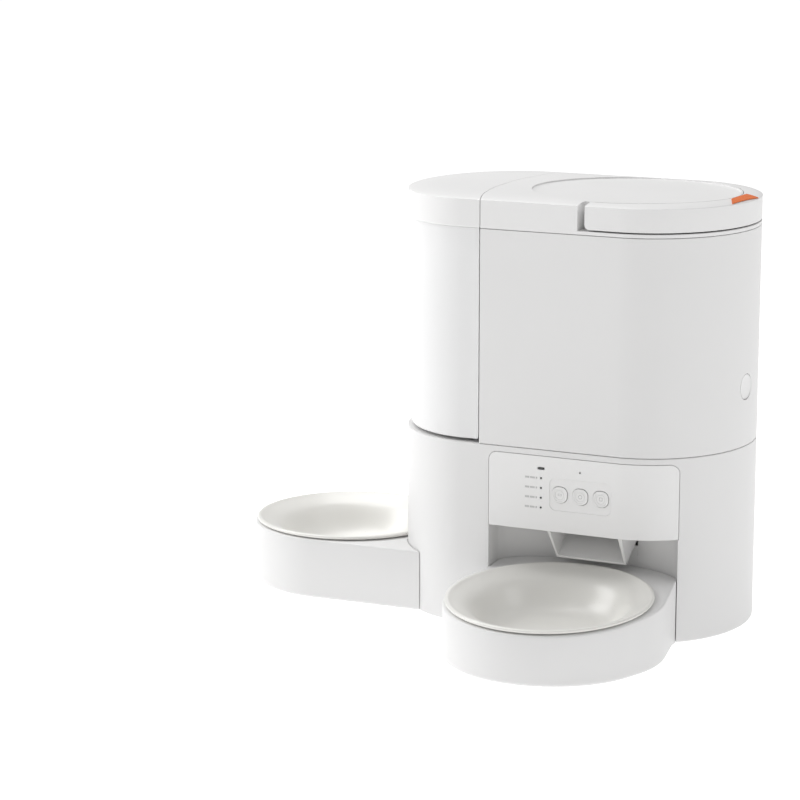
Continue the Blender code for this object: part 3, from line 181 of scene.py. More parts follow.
def stadium(name, inset, low, high, sides=192):
    piece = drum(name, HUB, END_REACH - inset, HALF_DEPTH - inset, low, high, sides)
    pull(piece, lambda place: place.x > HUB.x, (HALF_STRAIGHT, 0, 0))
    return pull(piece, lambda place: place.x < HUB.x, (-HALF_STRAIGHT, 0, 0))


def block(name, low, high):
    clear()
    middle = [(a + b) / 2 for a, b in zip(low, high)]
    bpy.ops.mesh.primitive_cube_add(size=1, location=middle)
    bpy.context.active_object.scale = [b - a for a, b in zip(low, high)]
    return named(name)


print("drum, stadium and block are ready")

# %% [markdown]
# ## Cutting, joining and softening
# A Boolean modifier cuts one solid with another, and applying it at once keeps the model plain. Real
# mouldings never have a knife edge, so after the last cut the stray points are merged, flat areas are made
# whole again and a narrow bevel goes along every sharp edge. That thin line of light is what makes plastic
# look moulded.

# %% Boolean and bevel
def combine(piece, other, operation="DIFFERENCE"):
    hold(piece)
    modifier = piece.modifiers.new(operation.title(), "BOOLEAN")
    modifier.operation, modifier.solver, modifier.object = operation, "EXACT", other
    bpy.ops.object.modifier_apply(modifier=modifier.name)
    mesh = other.data
    bpy.data.objects.remove(other)
    bpy.data.meshes.remove(mesh)
    return piece


def cut(piece, *others):
    for other in others:
        combine(piece, other)
    return piece


def soften(piece, width=0.4 * MM, angle=40, segments=2):
    pick(piece, "VERT", lambda place: True)
    bpy.ops.mesh.remove_doubles(threshold=0.00002)
    bpy.ops.mesh.dissolve_limited(angle_limit=math.radians(0.4))
    hold(piece)
    modifier = piece.modifiers.new("Soft edges", "BEVEL")
    modifier.width, modifier.segments = width, segments
    modifier.limit_method, modifier.angle_limit = "ANGLE", math.radians(angle)
    modifier.use_clamp_overlap = False
    bpy.ops.object.modifier_apply(modifier=modifier.name)
    smooth(piece)
    modifier = piece.modifiers.new("Flat faces", "WEIGHTED_NORMAL")
    modifier.keep_sharp = True
    bpy.ops.object.modifier_apply(modifier=modifier.name)
    return piece


def smooth(piece, angle=38):
    hold(piece)
    bpy.ops.object.shade_smooth_by_angle(angle=math.radians(angle))
    return piece


def finish_piece(piece, body, *nodes, slot):
    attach(piece, body)
    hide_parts(*nodes)
    print(piece.name, "has", len(piece.data.polygons), "faces and rides on", body)
    return piece


print("cutting and softening are ready")

# %% [markdown]
# ## The crowned top
# Both lids share one gently domed top. A dome could be sculpted, but insetting the flat top face again and
# again, each time a little higher, gives full control of the curve: steep at the rim, where it makes the
# rounded edge that catches the light, and almost flat in the middle.

# %% The lids' common blank
def crown_height(share):
    return CROWN * math.sin(share * math.pi / 2) ** 0.55


def crowned(name, low, inset=0.0):
    piece = stadium(name, inset, low, TOP)
    pick(piece, "FACE", lambda centre, normal: normal.z > 0.9)
    before = 0
    for share in (0.006, 0.02, 0.05, 0.1, 0.17, 0.27, 0.4, 0.56, 0.76, 1.0):
        rise = crown_height(share) - crown_height(before)
        bpy.ops.mesh.inset(thickness=CROWN_RUN * (share - before), depth=rise)
        before = share
    return smooth(piece)


def split_disc(name, grow, low=0.0, high=0.4):
    """A great disc whose left edge is the curved line between tank and hopper."""
    return drum(name, (SPLIT_CENTRE, HUB.y), SPLIT_RADIUS + grow, SPLIT_RADIUS + grow, low, high, sides=720)


def hopper_side(piece, inset=0.0):
    return combine(piece, split_disc("split", -inset), "INTERSECT")


def tank_side(piece, gap):
    return combine(piece, split_disc("split", gap))


print("the crown rises", CROWN / MM, "mm over", CROWN_RUN / MM, "mm")

# %% [markdown]
# ## The base shell
# The base is one open-bottomed moulding. Two alcoves let the trays slide in: a wide one at the front and a
# narrow one at the left end. Their walls stay closed, so the inside is cut first, leaving a wall around each
# alcove, and the alcoves are cut after it.

# %% Alcoves and the hollow
panel_low, panel_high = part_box("control_panel")
ALCOVE_LEFT, ALCOVE_RIGHT, ALCOVE_TOP = panel_low.x, panel_high.x, panel_low.z
ALCOVE_MIDDLE, ALCOVE_HALF = (ALCOVE_LEFT + ALCOVE_RIGHT) / 2, (ALCOVE_RIGHT - ALCOVE_LEFT) / 2
ALCOVE_DEPTH, ALCOVE_ROUND = 42 * MM, 26 * MM
SIDE_HALF_WIDTH, SIDE_DEPTH, SIDE_ROUND = 44 * MM, 28 * MM, 16 * MM
DECK = 2.6 * MM


def front_alcove(name, grow, high):
    springing = HUB.y - HALF_DEPTH + ALCOVE_DEPTH - ALCOVE_ROUND
    piece = drum(name, (ALCOVE_MIDDLE, springing), ALCOVE_HALF + grow, ALCOVE_ROUND + grow, -8 * MM, high, 96)
    pull(piece, lambda place: place.y < springing, (0, -2 * HALF_DEPTH, 0))
    return piece


def side_alcove(name, grow, high):
    springing = HUB.x - HALF_LENGTH + SIDE_DEPTH - SIDE_ROUND
    piece = drum(name, (springing, HUB.y), SIDE_ROUND + grow, SIDE_HALF_WIDTH + grow, -8 * MM, high, 96)
    pull(piece, lambda place: place.x < springing, (-2 * HALF_DEPTH, 0, 0))
    return piece


hollow = stadium("hollow", WALL, -5 * MM, BASE_TOP - DECK)
ceiling = ALCOVE_TOP + WALL
cut(hollow, front_alcove("front wall", WALL, ceiling), side_alcove("side wall", WALL, ceiling))
base_shell = stadium("base_shell", 0, BASE_BOTTOM, BASE_TOP)
pick(base_shell, "EDGE", lambda place: place.z < BASE_BOTTOM + MM)
bpy.ops.mesh.bevel(offset=1.6 * MM, segments=4, affect="EDGES", clamp_overlap=False)
pick(base_shell, "EDGE", lambda place: place.z > BASE_TOP - MM)
bpy.ops.mesh.bevel(offset=0.7 * MM, segments=3, affect="EDGES", clamp_overlap=False)
cut(base_shell, hollow, front_alcove("front", 0, ALCOVE_TOP), side_alcove("side", 0, ALCOVE_TOP))
print("base shell", len(base_shell.data.vertices), "points")

# %% [markdown]
# The control panel sits in a recess with round upper corners, and the deck has holes for the food, for the
# tank's valve and for the nozzle.

# %% Recess and holes
PANEL_CORNER = 6.5 * MM
PANEL_THICK = 2.4 * MM
FRONT = HUB.y - HALF_DEPTH


def panel_block(name, grow):
    """A slab as wide and high as the panel, with its two upper corners rounded."""
    piece = block(name, (ALCOVE_LEFT - grow, FRONT - 9 * MM, ALCOVE_TOP - grow),
                  (ALCOVE_RIGHT + grow, HUB.y, panel_high.z + grow))
    pick(piece, "EDGE", lambda place: place.z > panel_high.z - MM and
         abs(place.x - ALCOVE_MIDDLE) > ALCOVE_HALF - MM)
    bpy.ops.mesh.bevel(offset=PANEL_CORNER + grow, segments=10, affect="EDGES", clamp_overlap=False)
    clear()
    return piece


recess = panel_block("recess", FIT)
cut(recess, stadium("behind", PANEL_THICK + FIT, 0, 0.4))
cut(base_shell, recess)
deck_low, deck_high = BASE_TOP - DECK - MM, BASE_TOP + MM
outlet_low, outlet_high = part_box("rotor_housing")
food_hole = block("food hole", (outlet_low.x + 6 * MM, outlet_low.y + 6 * MM, deck_low),
                  (outlet_high.x - 6 * MM, outlet_high.y - 6 * MM, deck_high))
cup_low, cup_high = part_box("valve_cup")
cup_middle = (cup_low + cup_high) / 2
CUP_RADIUS = (cup_high.x - cup_low.x) / 2 - 3 * MM
cup_hole = drum("cup hole", cup_middle, CUP_RADIUS + FIT, CUP_RADIUS + FIT, deck_low, deck_high, 64)
nozzle_low, nozzle_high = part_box("water_nozzle")
nozzle_middle = (nozzle_low + nozzle_high) / 2
NOZZLE_RADIUS = (nozzle_high.x - nozzle_low.x) / 2
nozzle_hole = drum("nozzle hole", nozzle_middle, NOZZLE_RADIUS + FIT, NOZZLE_RADIUS + FIT,
                   ALCOVE_TOP - MM, ALCOVE_TOP + WALL + MM, 32)
chute_low, chute_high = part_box("food_chute")
chute_middle = (chute_low.x + chute_high.x) / 2
PASSAGE_BOTTOM, PASSAGE_NARROW, PASSAGE_WIDE = 68 * MM, 29.9 * MM, 31.5 * MM
passage = block("passage", (chute_middle - PASSAGE_WIDE, chute_high.y - 30 * MM, PASSAGE_BOTTOM),
                (chute_middle + PASSAGE_WIDE, chute_high.y + 6 * MM, ALCOVE_TOP + 8 * MM))
pick(passage, "VERT", lambda place: place.z < PASSAGE_BOTTOM + MM)
bpy.ops.transform.resize(value=(PASSAGE_NARROW / PASSAGE_WIDE, 1, 1), center_override=(chute_middle, 0, 0))
cut(base_shell, food_hole, cup_hole, nozzle_hole, passage)
soften(base_shell, 0.45 * MM, angle=50)
print("base shell", len(base_shell.data.polygons), "faces")

# %% [markdown]
# ## The control panel
# The panel is a thin slice of the same tub, so it follows the front exactly: a thick ring of the tub is kept
# only where the round-cornered slab overlaps it. The keypad is a shallow recess with three holes, and small
# holes show the lights behind.

# %% Panel with its keypad
button_boxes = {name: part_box(name) for name in ("feed_button", "water_button", "lock_button")}
key_z = sum(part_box("water_button")[k].z for k in (0, 1)) / 2
key_x = sum(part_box("water_button")[k].x for k in (0, 1)) / 2
BUTTON_HALF = 6.1 * MM


def pad(name, centre_x, centre_z, half_x, half_z, corner, near, far, steps=8):
    """A slab facing the front with four round corners."""
    piece = block(name, (centre_x - half_x, near, centre_z - half_z),
                  (centre_x + half_x, far, centre_z + half_z))
    for edge in piece.data.edges:
        a, b = (piece.data.vertices[v].co for v in edge.vertices)
        edge.select = abs(a.y - b.y) > abs(a.x - b.x) + abs(a.z - b.z)
    for face in piece.data.polygons:
        face.select = False
    bpy.context.tool_settings.mesh_select_mode = (False, True, False)
    bpy.ops.object.mode_set(mode="EDIT")
    bpy.ops.mesh.bevel(offset=corner, segments=steps, affect="EDGES", clamp_overlap=False)
    clear()
    return piece


panel = stadium("control_fascia", 0, ALCOVE_TOP - 5 * MM, BASE_TOP)
cut(panel, stadium("inside", PANEL_THICK, 0, 0.4))
combine(panel, panel_block("outline", 0), "INTERSECT")
cut(panel, pad("keypad", key_x, key_z, 25.2 * MM, 12.5 * MM, 5 * MM, FRONT - 5 * MM, FRONT + 0.5 * MM))
for name, (low, high) in button_boxes.items():
    middle = (low.x + high.x) / 2
    cut(panel, pad("hole", middle, key_z, BUTTON_HALF + 0.35 * MM, BUTTON_HALF + 0.35 * MM, 5.35 * MM,
                   FRONT - 9 * MM, FRONT + 9 * MM))
print("fascia", len(panel.data.polygons), "faces")

# %% Holes for the lights
lights = {}
for name in ("status_light", *(f"indicator_light_{number}" for number in range(1, 5))):
    low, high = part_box(name)
    half_x, half_z = (high.x - low.x) / 2, (high.z - low.z) / 2
    lights[name] = ((low.x + high.x) / 2, (low.z + high.z) / 2, half_x, half_z)
    x, z = lights[name][:2]
    cut(panel, pad("hole", x, z, half_x + 0.12 * MM, half_z + 0.12 * MM, half_z * 0.98,
                   FRONT - MM, FRONT + 5 * MM, 5))
clear()
PINHOLE = (HUB.x + 36.1 * MM, FRONT, 130.2 * MM)
bpy.ops.mesh.primitive_cylinder_add(vertices=24, radius=0.75 * MM, depth=12 * MM, location=PINHOLE,
                                    rotation=(math.pi / 2, 0, 0))
cut(panel, named("pinhole"))
soften(panel, 0.28 * MM, angle=50)
print("fascia", len(panel.data.polygons), "faces after softening")

# %% [markdown]
# ## Three round-cornered buttons
# Each button is a rounded cap with a narrow raised ring and a flat disc inside it. The ring comes from insets
# of the front face, the last one pushed in, and a fine round groove marks the disc. One button is shaped and
# then copied for its neighbours.

# %% Buttons
def face_forward(centre, normal):
    return normal.y < -0.9


cap_low, cap_high = button_boxes["water_button"]
cap = pad("water_button_cap", key_x, key_z, BUTTON_HALF, BUTTON_HALF, 5.0 * MM,
          cap_low.y, cap_high.y - MM, 10)
pick(cap, "FACE", face_forward)
bpy.ops.mesh.inset(thickness=0.3 * MM, depth=0)
bpy.ops.mesh.inset(thickness=0.7 * MM, depth=0)
bpy.ops.mesh.inset(thickness=0.25 * MM, depth=-0.5 * MM)


def facing_drum(name, radius, near, far):
    clear()
    middle = (key_x, (near + far) / 2, key_z)
    bpy.ops.mesh.primitive_cylinder_add(vertices=48, radius=radius, depth=far - near, location=middle,
                                        rotation=(math.pi / 2, 0, 0))
    return named(name)


disc_face = cap_low.y + 0.5 * MM
groove = facing_drum("groove", 3.75 * MM, disc_face - MM, disc_face + 0.3 * MM)
cut(groove, facing_drum("disc", 3.3 * MM, disc_face - 2 * MM, disc_face + MM))
cut(cap, groove)
soften(cap, 0.14 * MM, angle=40, segments=3)
caps = {"water_button": cap}
for name in ("feed_button", "lock_button"):
    twin = cap.copy()
    twin.data = cap.data.copy()
    twin.name = twin.data.name = name + "_cap"
    bpy.context.scene.collection.objects.link(twin)
    low, high = button_boxes[name]
    pull(twin, lambda place: True, ((low.x + high.x) / 2 - key_x, 0, 0))
    caps[name] = twin
print("three caps of", len(cap.data.polygons), "faces")

# %% [markdown]
# ## Lenses
# The status bar and the four dots are smoked windows, set a hair below the surface and slightly domed.

# %% Small lenses
lenses = {}
for name, (x, z, half_x, half_z) in lights.items():
    lens = pad(name.replace("light", "lens"), x, z, half_x, half_z, half_z * 0.97,
               FRONT + 0.1 * MM, FRONT + 4 * MM, 6)
    pick(lens, "FACE", face_forward)
    bpy.ops.mesh.inset(thickness=half_z * 0.25, depth=0.06 * MM)
    bpy.ops.mesh.inset(thickness=half_z * 0.3, depth=0.03 * MM)
    lenses[name] = smooth(lens, 50)
print(len(lenses), "lenses")

# %% [markdown]
# ## The chute
# The food slides down a short open trough. Its shape is already right in the engineering model, so a copy of
# that mesh is merged and softened instead of being drawn again.

# %% Trough
def copy_of(node, name):
    source = frame["nodes"][node]
    piece = source.copy()
    piece.data = source.data.copy()
    piece.parent = None
    piece.name = piece.data.name = name
    for key in list(piece.keys()):
        del piece[key]
    piece.data.materials.clear()
    bpy.context.scene.collection.objects.link(piece)
    return piece


chute = copy_of("food_chute", "chute_trough")
soften(chute, 0.35 * MM, angle=30, segments=3)
print("trough", len(chute.data.polygons), "faces")

# %% [markdown]
# ## The hopper and the tank walls
# Both are rings cut from the same tub: the hopper keeps what lies right of the curved dividing line and the
# tank what lies left of it. The tank stands a little inside the outline, so its lid overhangs it all round.

# %% Hopper wall
hopper_low, hopper_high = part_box("hopper_housing")
hopper = hopper_side(stadium("hopper_shell", 0, hopper_low.z, hopper_high.z))
cut(hopper, hopper_side(stadium("hollow", WALL, 0, 0.4), WALL))
print("hopper", len(hopper.data.polygons), "faces")

# %% [markdown]
# The release button goes through the right end's wall along its own line, which its joint already knows.

# %% Where the release button goes through the wall
release_low, release_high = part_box("hopper_release_button")
press = next(j for j in frame["joints"] if j["child"] == "release_button")
inward = Vector(press["axis"]).normalized()
RELEASE_RADIUS = 9.6 * MM
release_middle = (release_low + release_high) / 2
turn = inward.to_track_quat("Z", "Y").to_euler()


def side_rod(name, radius, start, end, sides=64):
    """A rod along the button's own line; 0 is the tub's outer surface."""
    middle = face_point + inward * (start + end) / 2
    clear()
    bpy.ops.mesh.primitive_cylinder_add(vertices=sides, radius=radius, depth=abs(end - start),
                                        location=middle, rotation=turn)
    return named(name)


share = max(-1, min(1, (release_middle.y - HUB.y) / HALF_DEPTH))
face_point = Vector((HUB.x + HALF_STRAIGHT + END_REACH * math.sqrt(1 - share ** 2),
                     release_middle.y, release_middle.z))
cut(hopper, side_rod("release hole", RELEASE_RADIUS + 0.5 * MM, -9 * MM, 9 * MM))
soften(hopper, 0.4 * MM, angle=50)
print("release button faces", [round(v, 3) for v in -inward])

# %% Release button
release = side_rod("release_cap", RELEASE_RADIUS, 0.4 * MM, WALL + 2.6 * MM)
pick(release, "FACE", lambda centre, normal: normal.dot(inward) < -0.9)
bpy.ops.mesh.inset(thickness=0.5 * MM, depth=0)
bpy.ops.mesh.inset(thickness=0.3 * MM, depth=-0.25 * MM)
bpy.ops.mesh.inset(thickness=3.4 * MM, depth=-0.2 * MM)
soften(release, 0.2 * MM, angle=40, segments=3)
flange = side_rod("flange", RELEASE_RADIUS + 1.4 * MM, WALL + 1.2 * MM, WALL + 2.8 * MM)
combine(release, flange, "UNION")
smooth(release)
print("release cap", len(release.data.polygons), "faces")

# %% Tank
tank_low, tank_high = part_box("water_tank")
TANK_INSET, TANK_WALL, TANK_GAP = 3 * MM, 2.2 * MM, 0.95 * MM
tank = tank_side(stadium("tank_shell", TANK_INSET, tank_low.z, tank_high.z), TANK_GAP)
pick(tank, "EDGE", lambda place: place.z < tank_low.z + MM)
bpy.ops.mesh.bevel(offset=1.8 * MM, segments=4, affect="EDGES", clamp_overlap=False)
inside = tank_side(stadium("inside", TANK_INSET + TANK_WALL, tank_low.z + 3 * MM, 0.4), TANK_GAP + TANK_WALL)
valve_low, valve_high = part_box("tank_valve_body")
valve_middle = (valve_low + valve_high) / 2
NECK = (valve_high.x - valve_low.x) / 2 - 3 * MM + FIT
cut(tank, inside, drum("neck", valve_middle, NECK, NECK, 0, tank_low.z + 12 * MM, 48))
soften(tank, 0.5 * MM, angle=50)
print("tank", len(tank.data.polygons), "faces")

# %% [markdown]
# ## The hopper lid
# The lid carries an oval island with a shallow dish. The handle lies round the island in a wide step, flush
# with the lid's top, so the step is cut away first and the island kept.

# %% Lid
OVAL_MIDDLE = HUB.x + 43.5 * MM
OVAL_REACH, OVAL_HALF = 82.3 * MM, 77 * MM
SLOT_LEFT = HUB.x + 31.4 * MM
SLOT_WIDTH = 5.6 * MM
FLANGE_TOP = LID_SEAM + 2.7 * MM
SKIN = 2.4 * MM
DISH_FLOOR = SUMMIT - 1.8 * MM


def oval(name, grow_x, grow_y, low, high):
    return drum(name, (OVAL_MIDDLE, HUB.y), OVAL_REACH + grow_x, OVAL_HALF + grow_y, low, high, sides=192)


lid = hopper_side(crowned("hopper_lid_shell", LID_SEAM))
around = block("around", (SLOT_LEFT, HUB.y - 0.2, FLANGE_TOP), (HUB.x + 0.4, HUB.y + 0.2, 0.5))
cut(around, oval("island", 0, 0, 0, 0.6))
cut(lid, around)
print("lid with its island", len(lid.data.polygons), "faces")

# %% [markdown]
# The dish is pressed in with a lens-shaped cutter: the underside of an oval slab is inset in steps that each
# go a little deeper, so the dish has a crisp rim and a bottom with no edge in it.

# %% Dish
dish = oval("dish", -1.2 * MM, -1.2 * MM, TOP + 1.75 * MM, SUMMIT + 3 * MM)
pick(dish, "FACE", lambda centre, normal: normal.z < -0.9)
for width, depth in ((1.5, 0.28), (3, 0.2), (6, 0.2), (9, 0.16), (12, 0.12), (14, 0.07), (16, 0.03)):
    bpy.ops.mesh.inset(thickness=width * MM, depth=depth * MM)
cut(lid, dish)
hollow_top = DISH_FLOOR - 1.2 * MM
under = oval("under", -SKIN, -SKIN, 0, hollow_top - 1.4 * MM)
left = hopper_side(stadium("left", WALL, FLANGE_TOP, TOP - SKIN), WALL)
combine(left, block("side", (0 - 0.5, -0.5, 0), (SLOT_LEFT - SKIN, 0.5, TOP)), "INTERSECT")
plug_outer = WALL + FIT + 2.2 * MM
mouth = hopper_side(stadium("mouth", plug_outer + SKIN, 0, FLANGE_TOP + MM), plug_outer + SKIN)
combine(mouth, block("side", (-0.5, -0.5, -0.1), (SLOT_LEFT - SKIN, 0.5, TOP)), "INTERSECT")
cut(lid, under, left, mouth)
plug_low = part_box("hopper_lid")[0].z
plug = hopper_side(stadium("plug", plug_outer, plug_low, LID_SEAM + MM), plug_outer)
cut(plug, hopper_side(stadium("plug inside", plug_outer + SKIN, 0, 0.4), plug_outer + SKIN))
combine(lid, plug, "UNION")
soften(lid, 0.3 * MM, angle=52)
print("lid", len(lid.data.polygons), "faces")

# %% [markdown]
# ## The carrying handle
# A flat horseshoe lies round the island. It is cut from the same crowned blank, so its top runs level with
# the lid, and its lower left edge is rounded so that it can swing up past the lid's step.

# %% Handle
HANDLE_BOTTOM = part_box("lid_handle")[0].z
handle = crowned("handle_shell", HANDLE_BOTTOM)
slot_right = SLOT_LEFT + SLOT_WIDTH
keep = block("keep", (slot_right, HUB.y - 0.2, HANDLE_BOTTOM - MM), (HUB.x + 0.4, HUB.y + 0.2, 0.5))
combine(handle, keep, "INTERSECT")
cut(handle, oval("oval", 0.6 * MM, 1.3 * MM, 0, 0.6))
pick(handle, "EDGE", lambda place: place.z < HANDLE_BOTTOM + 0.1 * MM and place.x < slot_right + 0.1 * MM)
bpy.ops.mesh.bevel(offset=4 * MM, segments=6, affect="EDGES", clamp_overlap=False)
clear()
channel = stadium("channel", SKIN, 0, TOP - SKIN)
cut(channel, oval("inner wall", 0.6 * MM + SKIN, 1.3 * MM + SKIN, -MM, 0.6))
cut(channel, block("end wall", (-0.5, -0.5, -0.1), (slot_right + SKIN, 0.5, 0.5)))
cut(handle, channel)
soften(handle, 0.3 * MM, angle=52)
print("handle", len(handle.data.polygons), "faces")

# %% [markdown]
# ## The tank's lid
# The same blank again, but the part left of the dividing line, hollow underneath and with a rounded lower
# edge.

# %% Tank lid
tank_lid = tank_side(crowned("tank_lid_shell", LID_SEAM), 0.4 * MM)
pick(tank_lid, "EDGE", lambda place: place.z < LID_SEAM + 0.1 * MM)
bpy.ops.mesh.bevel(offset=1.1 * MM, segments=4, affect="EDGES", clamp_overlap=False)
cut(tank_lid, tank_side(stadium("under", WALL, 0, TOP - SKIN), 0.4 * MM + WALL))
ring_inset = TANK_INSET + TANK_WALL + FIT + 2.2 * MM
tank_plug_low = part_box("tank_lid")[0].z
plug_gap = 0.4 * MM + ring_inset - TANK_INSET
tank_plug = tank_side(stadium("plug", ring_inset, tank_plug_low, TOP - MM), plug_gap)
cut(tank_plug, tank_side(stadium("plug inside", ring_inset + SKIN, 0, 0.4), plug_gap + SKIN))
combine(tank_lid, tank_plug, "UNION")
soften(tank_lid, 0.3 * MM, angle=52)
print("tank lid", len(tank_lid.data.polygons), "faces")

# %% [markdown]
# ## Two trays
# A tray is round at the front and runs back into its alcove with straight, almost parallel sides. In plan
# that is a circle wrapped together with the alcove's mouth by a tight band, which is exactly what a convex
# hull makes. The top is sliced off, level for the water and tilted for the food, the edges are rounded, a
# tongue that fits the alcove is joined on, and a well is sunk for the bowl.

# %% Tray blank
TRAY_RADIUS = 80 * MM
TRAY_GAP = 0.6 * MM
bowl_boxes = {name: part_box(name) for name in ("food_bowl", "water_bowl")}
food_ring_low, food_ring_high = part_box("food_tray_foot_ring")
FOOD_MIDDLE = (food_ring_low + food_ring_high) / 2
water_ring_low, water_ring_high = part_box("water_tray_foot_ring")
WATER_MIDDLE = (water_ring_low + water_ring_high) / 2


def band(name, rounds, mouth, low, high):
    """The hull of one or two drums, each a centre and a radius, and the corners of the alcove's mouth."""
    drums = [drum(name, centre, radius, radius, low, high, sides=160) for centre, radius in rounds]
    round_end = drums[0]
    corners = [(x, y, z) for x, y in mouth for z in (low, high)]
    clear()
    for place in corners:
        bpy.ops.mesh.primitive_plane_add(size=0.02 * MM, location=place)
        bpy.context.active_object.name = "corner"
    for piece in list(bpy.context.scene.collection.all_objects):
        if piece.name.startswith("corner"):
            piece.select_set(True)
    for piece in drums:
        piece.select_set(True)
    bpy.context.view_layer.objects.active = round_end
    bpy.ops.object.join()
    pick(round_end, "VERT", lambda place: True)
    bpy.ops.mesh.convex_hull()
    clear()
    return round_end


def sliced(piece, height, tilt, centre):
    pick(piece, "FACE", lambda middle, normal: True)
    bpy.ops.mesh.bisect(plane_co=(centre.x, centre.y, height), plane_no=(0, -math.sin(tilt), math.cos(tilt)),
                        use_fill=True, clear_outer=True)
    clear()
    return piece


def rounded_tray(piece, height, tilt, centre):
    """Makes the flat areas whole and rounds the lower and upper edges."""
    slope = math.tan(tilt)
    pick(piece, "FACE", lambda middle, normal: True)
    bpy.ops.mesh.dissolve_limited(angle_limit=math.radians(0.2))
    pick(piece, "EDGE", lambda place: place.z < tray_low + 0.1 * MM)
    bpy.ops.mesh.bevel(offset=3 * MM, segments=6, affect="EDGES", clamp_overlap=False)
    pick(piece, "EDGE", lambda place: abs(place.z - height - (place.y - centre.y) * slope) < 0.1 * MM)
    bpy.ops.mesh.bevel(offset=1.5 * MM, segments=5, affect="EDGES", clamp_overlap=False)
    clear()
    return piece


tray_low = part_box("food_tray")[0].z
print("food tray centred at", [round(v / MM, 1) for v in FOOD_MIDDLE])

# %% Food tray
def front_of(x, gap):
    beyond = max(abs(x - HUB.x) - HALF_STRAIGHT, 0)
    return HUB.y - HALF_DEPTH * math.sqrt(1 - (beyond / END_REACH) ** 2) - gap


FOOD_TILT = math.radians(4)
FOOD_DECK = 44.5 * MM
mouth = [(x, front_of(x, TRAY_GAP)) for x in (ALCOVE_LEFT + TRAY_GAP, ALCOVE_RIGHT - TRAY_GAP)]
FLANK_BEHIND, FLANK_RADIUS = 12 * MM, 84 * MM  # the tray is a little wider behind the bowl's middle
flank = FOOD_MIDDLE + Vector((0, FLANK_BEHIND, 0))
food_tray = band("food_tray_shell", ((FOOD_MIDDLE, TRAY_RADIUS), (flank, FLANK_RADIUS)), mouth,
                 tray_low, 0.07)
springing = FRONT + ALCOVE_DEPTH - ALCOVE_ROUND
tongue = drum("tongue", (ALCOVE_MIDDLE, springing), ALCOVE_HALF - TRAY_GAP, ALCOVE_ROUND - TRAY_GAP,
              tray_low, 0.07, 96)
pull(tongue, lambda place: place.y < springing, (0, -34 * MM, 0))
rounded_tray(sliced(food_tray, FOOD_DECK, FOOD_TILT, FOOD_MIDDLE), FOOD_DECK, FOOD_TILT, FOOD_MIDDLE)
combine(food_tray, sliced(tongue, FOOD_DECK, FOOD_TILT, FOOD_MIDDLE), "UNION")
print("food tray", len(food_tray.data.polygons), "faces")

# %% The well for the bowl
WELL = 73.5 * MM


def well(centre, deck, tilt):
    clear()
    middle = Vector((centre.x, centre.y, deck)) + Matrix.Rotation(tilt, 3, "X") @ Vector((0, 0, -4 * MM))
    bpy.ops.mesh.primitive_cylinder_add(vertices=128, radius=WELL, depth=60 * MM, location=middle,
                                        rotation=(tilt, 0, 0))
    return named("well")


cut(food_tray, well(FOOD_MIDDLE, FOOD_DECK, FOOD_TILT))
smooth(food_tray)
print("food tray with its well", len(food_tray.data.polygons), "faces")

# %% Water tray
WATER_DECK = 49.3 * MM
WATER_HALF = 75 * MM


def end_of(y, gap):
    return HUB.x - HALF_STRAIGHT - (END_REACH + gap) * math.sqrt(1 - ((y - HUB.y) / (HALF_DEPTH + gap)) ** 2)


INTO_BODY = 40 * MM  # the band runs on into the body, so that its corners are cut off with the body's curve
water_mouth = [(end_of(y, TRAY_GAP) + INTO_BODY, y) for y in (HUB.y - WATER_HALF, HUB.y + WATER_HALF)]
water_tray = band("water_tray_shell", ((WATER_MIDDLE, TRAY_RADIUS),), water_mouth, tray_low, WATER_DECK)
grown = drum("body end", (HUB.x - HALF_STRAIGHT, HUB.y), END_REACH + TRAY_GAP, HALF_DEPTH + TRAY_GAP,
             -MM, 0.1, 192)
side_springing = HUB.x - HALF_LENGTH + SIDE_DEPTH - SIDE_ROUND
rounded_tray(water_tray, WATER_DECK, 0, WATER_MIDDLE)
cut(water_tray, grown)
side_tongue = drum("tongue", (side_springing, HUB.y), SIDE_ROUND - TRAY_GAP, SIDE_HALF_WIDTH - TRAY_GAP,
                   tray_low, WATER_DECK, 96)
pull(side_tongue, lambda place: place.x < side_springing, (-30 * MM, 0, 0))
combine(water_tray, side_tongue, "UNION")
pick(water_tray, "FACE", lambda centre, normal: True)
bpy.ops.mesh.dissolve_limited(angle_limit=math.radians(0.2))
cut(water_tray, well(WATER_MIDDLE, WATER_DECK, 0))
smooth(water_tray)
print("water tray", len(water_tray.data.polygons), "faces")

# %% [markdown]
# ## Ceramic bowls
# A potter raises a bowl ring by ring, and so does this: a circle is extruded again and again, each new ring
# moved up or down and scaled to the next radius, from the middle of the floor over the rim and back under to
# the foot. A subdivision surface then rounds everything, as a glaze does.

# %% Throw a bowl
RIM_HEIGHT = 4 * MM
BOWL_RADIUS = (bowl_boxes["water_bowl"][1].x - bowl_boxes["water_bowl"][0].x) / 2
R = BOWL_RADIUS / MM
bowl_rings = [(8, -31), (24, -31), (R - 44, -30.7), (R - 38, -29.3), (R - 32, -26), (R - 27.5, -20.8),
              (R - 23.5, -14.4), (R - 20, -9.6), (R - 16.5, -6.7), (R - 12.5, -4.7), (R - 8.5, -3),
              (R - 5.6, -1.8), (R - 4, -0.8), (R - 2.6, -0.1), (R - 1.1, -0.3), (R - 0.2, -1.1),
              (R - 0.1, -2), (R - 0.7, -2.8), (R - 2, -3.3), (R - 6.3, -4.6), (R - 8.4, -6.4),
              (R - 12, -8.4), (R - 16, -11.2), (R - 19.5, -15.4), (R - 24, -23), (R - 29, -29),
              (R - 33, -33), (R - 35.4, -35.2), (R - 36, -35.5), (R - 40, -35.5), (R - 41, -35.2),
              (R - 41.4, -34.2), (R - 46, -34), (10, -34)]


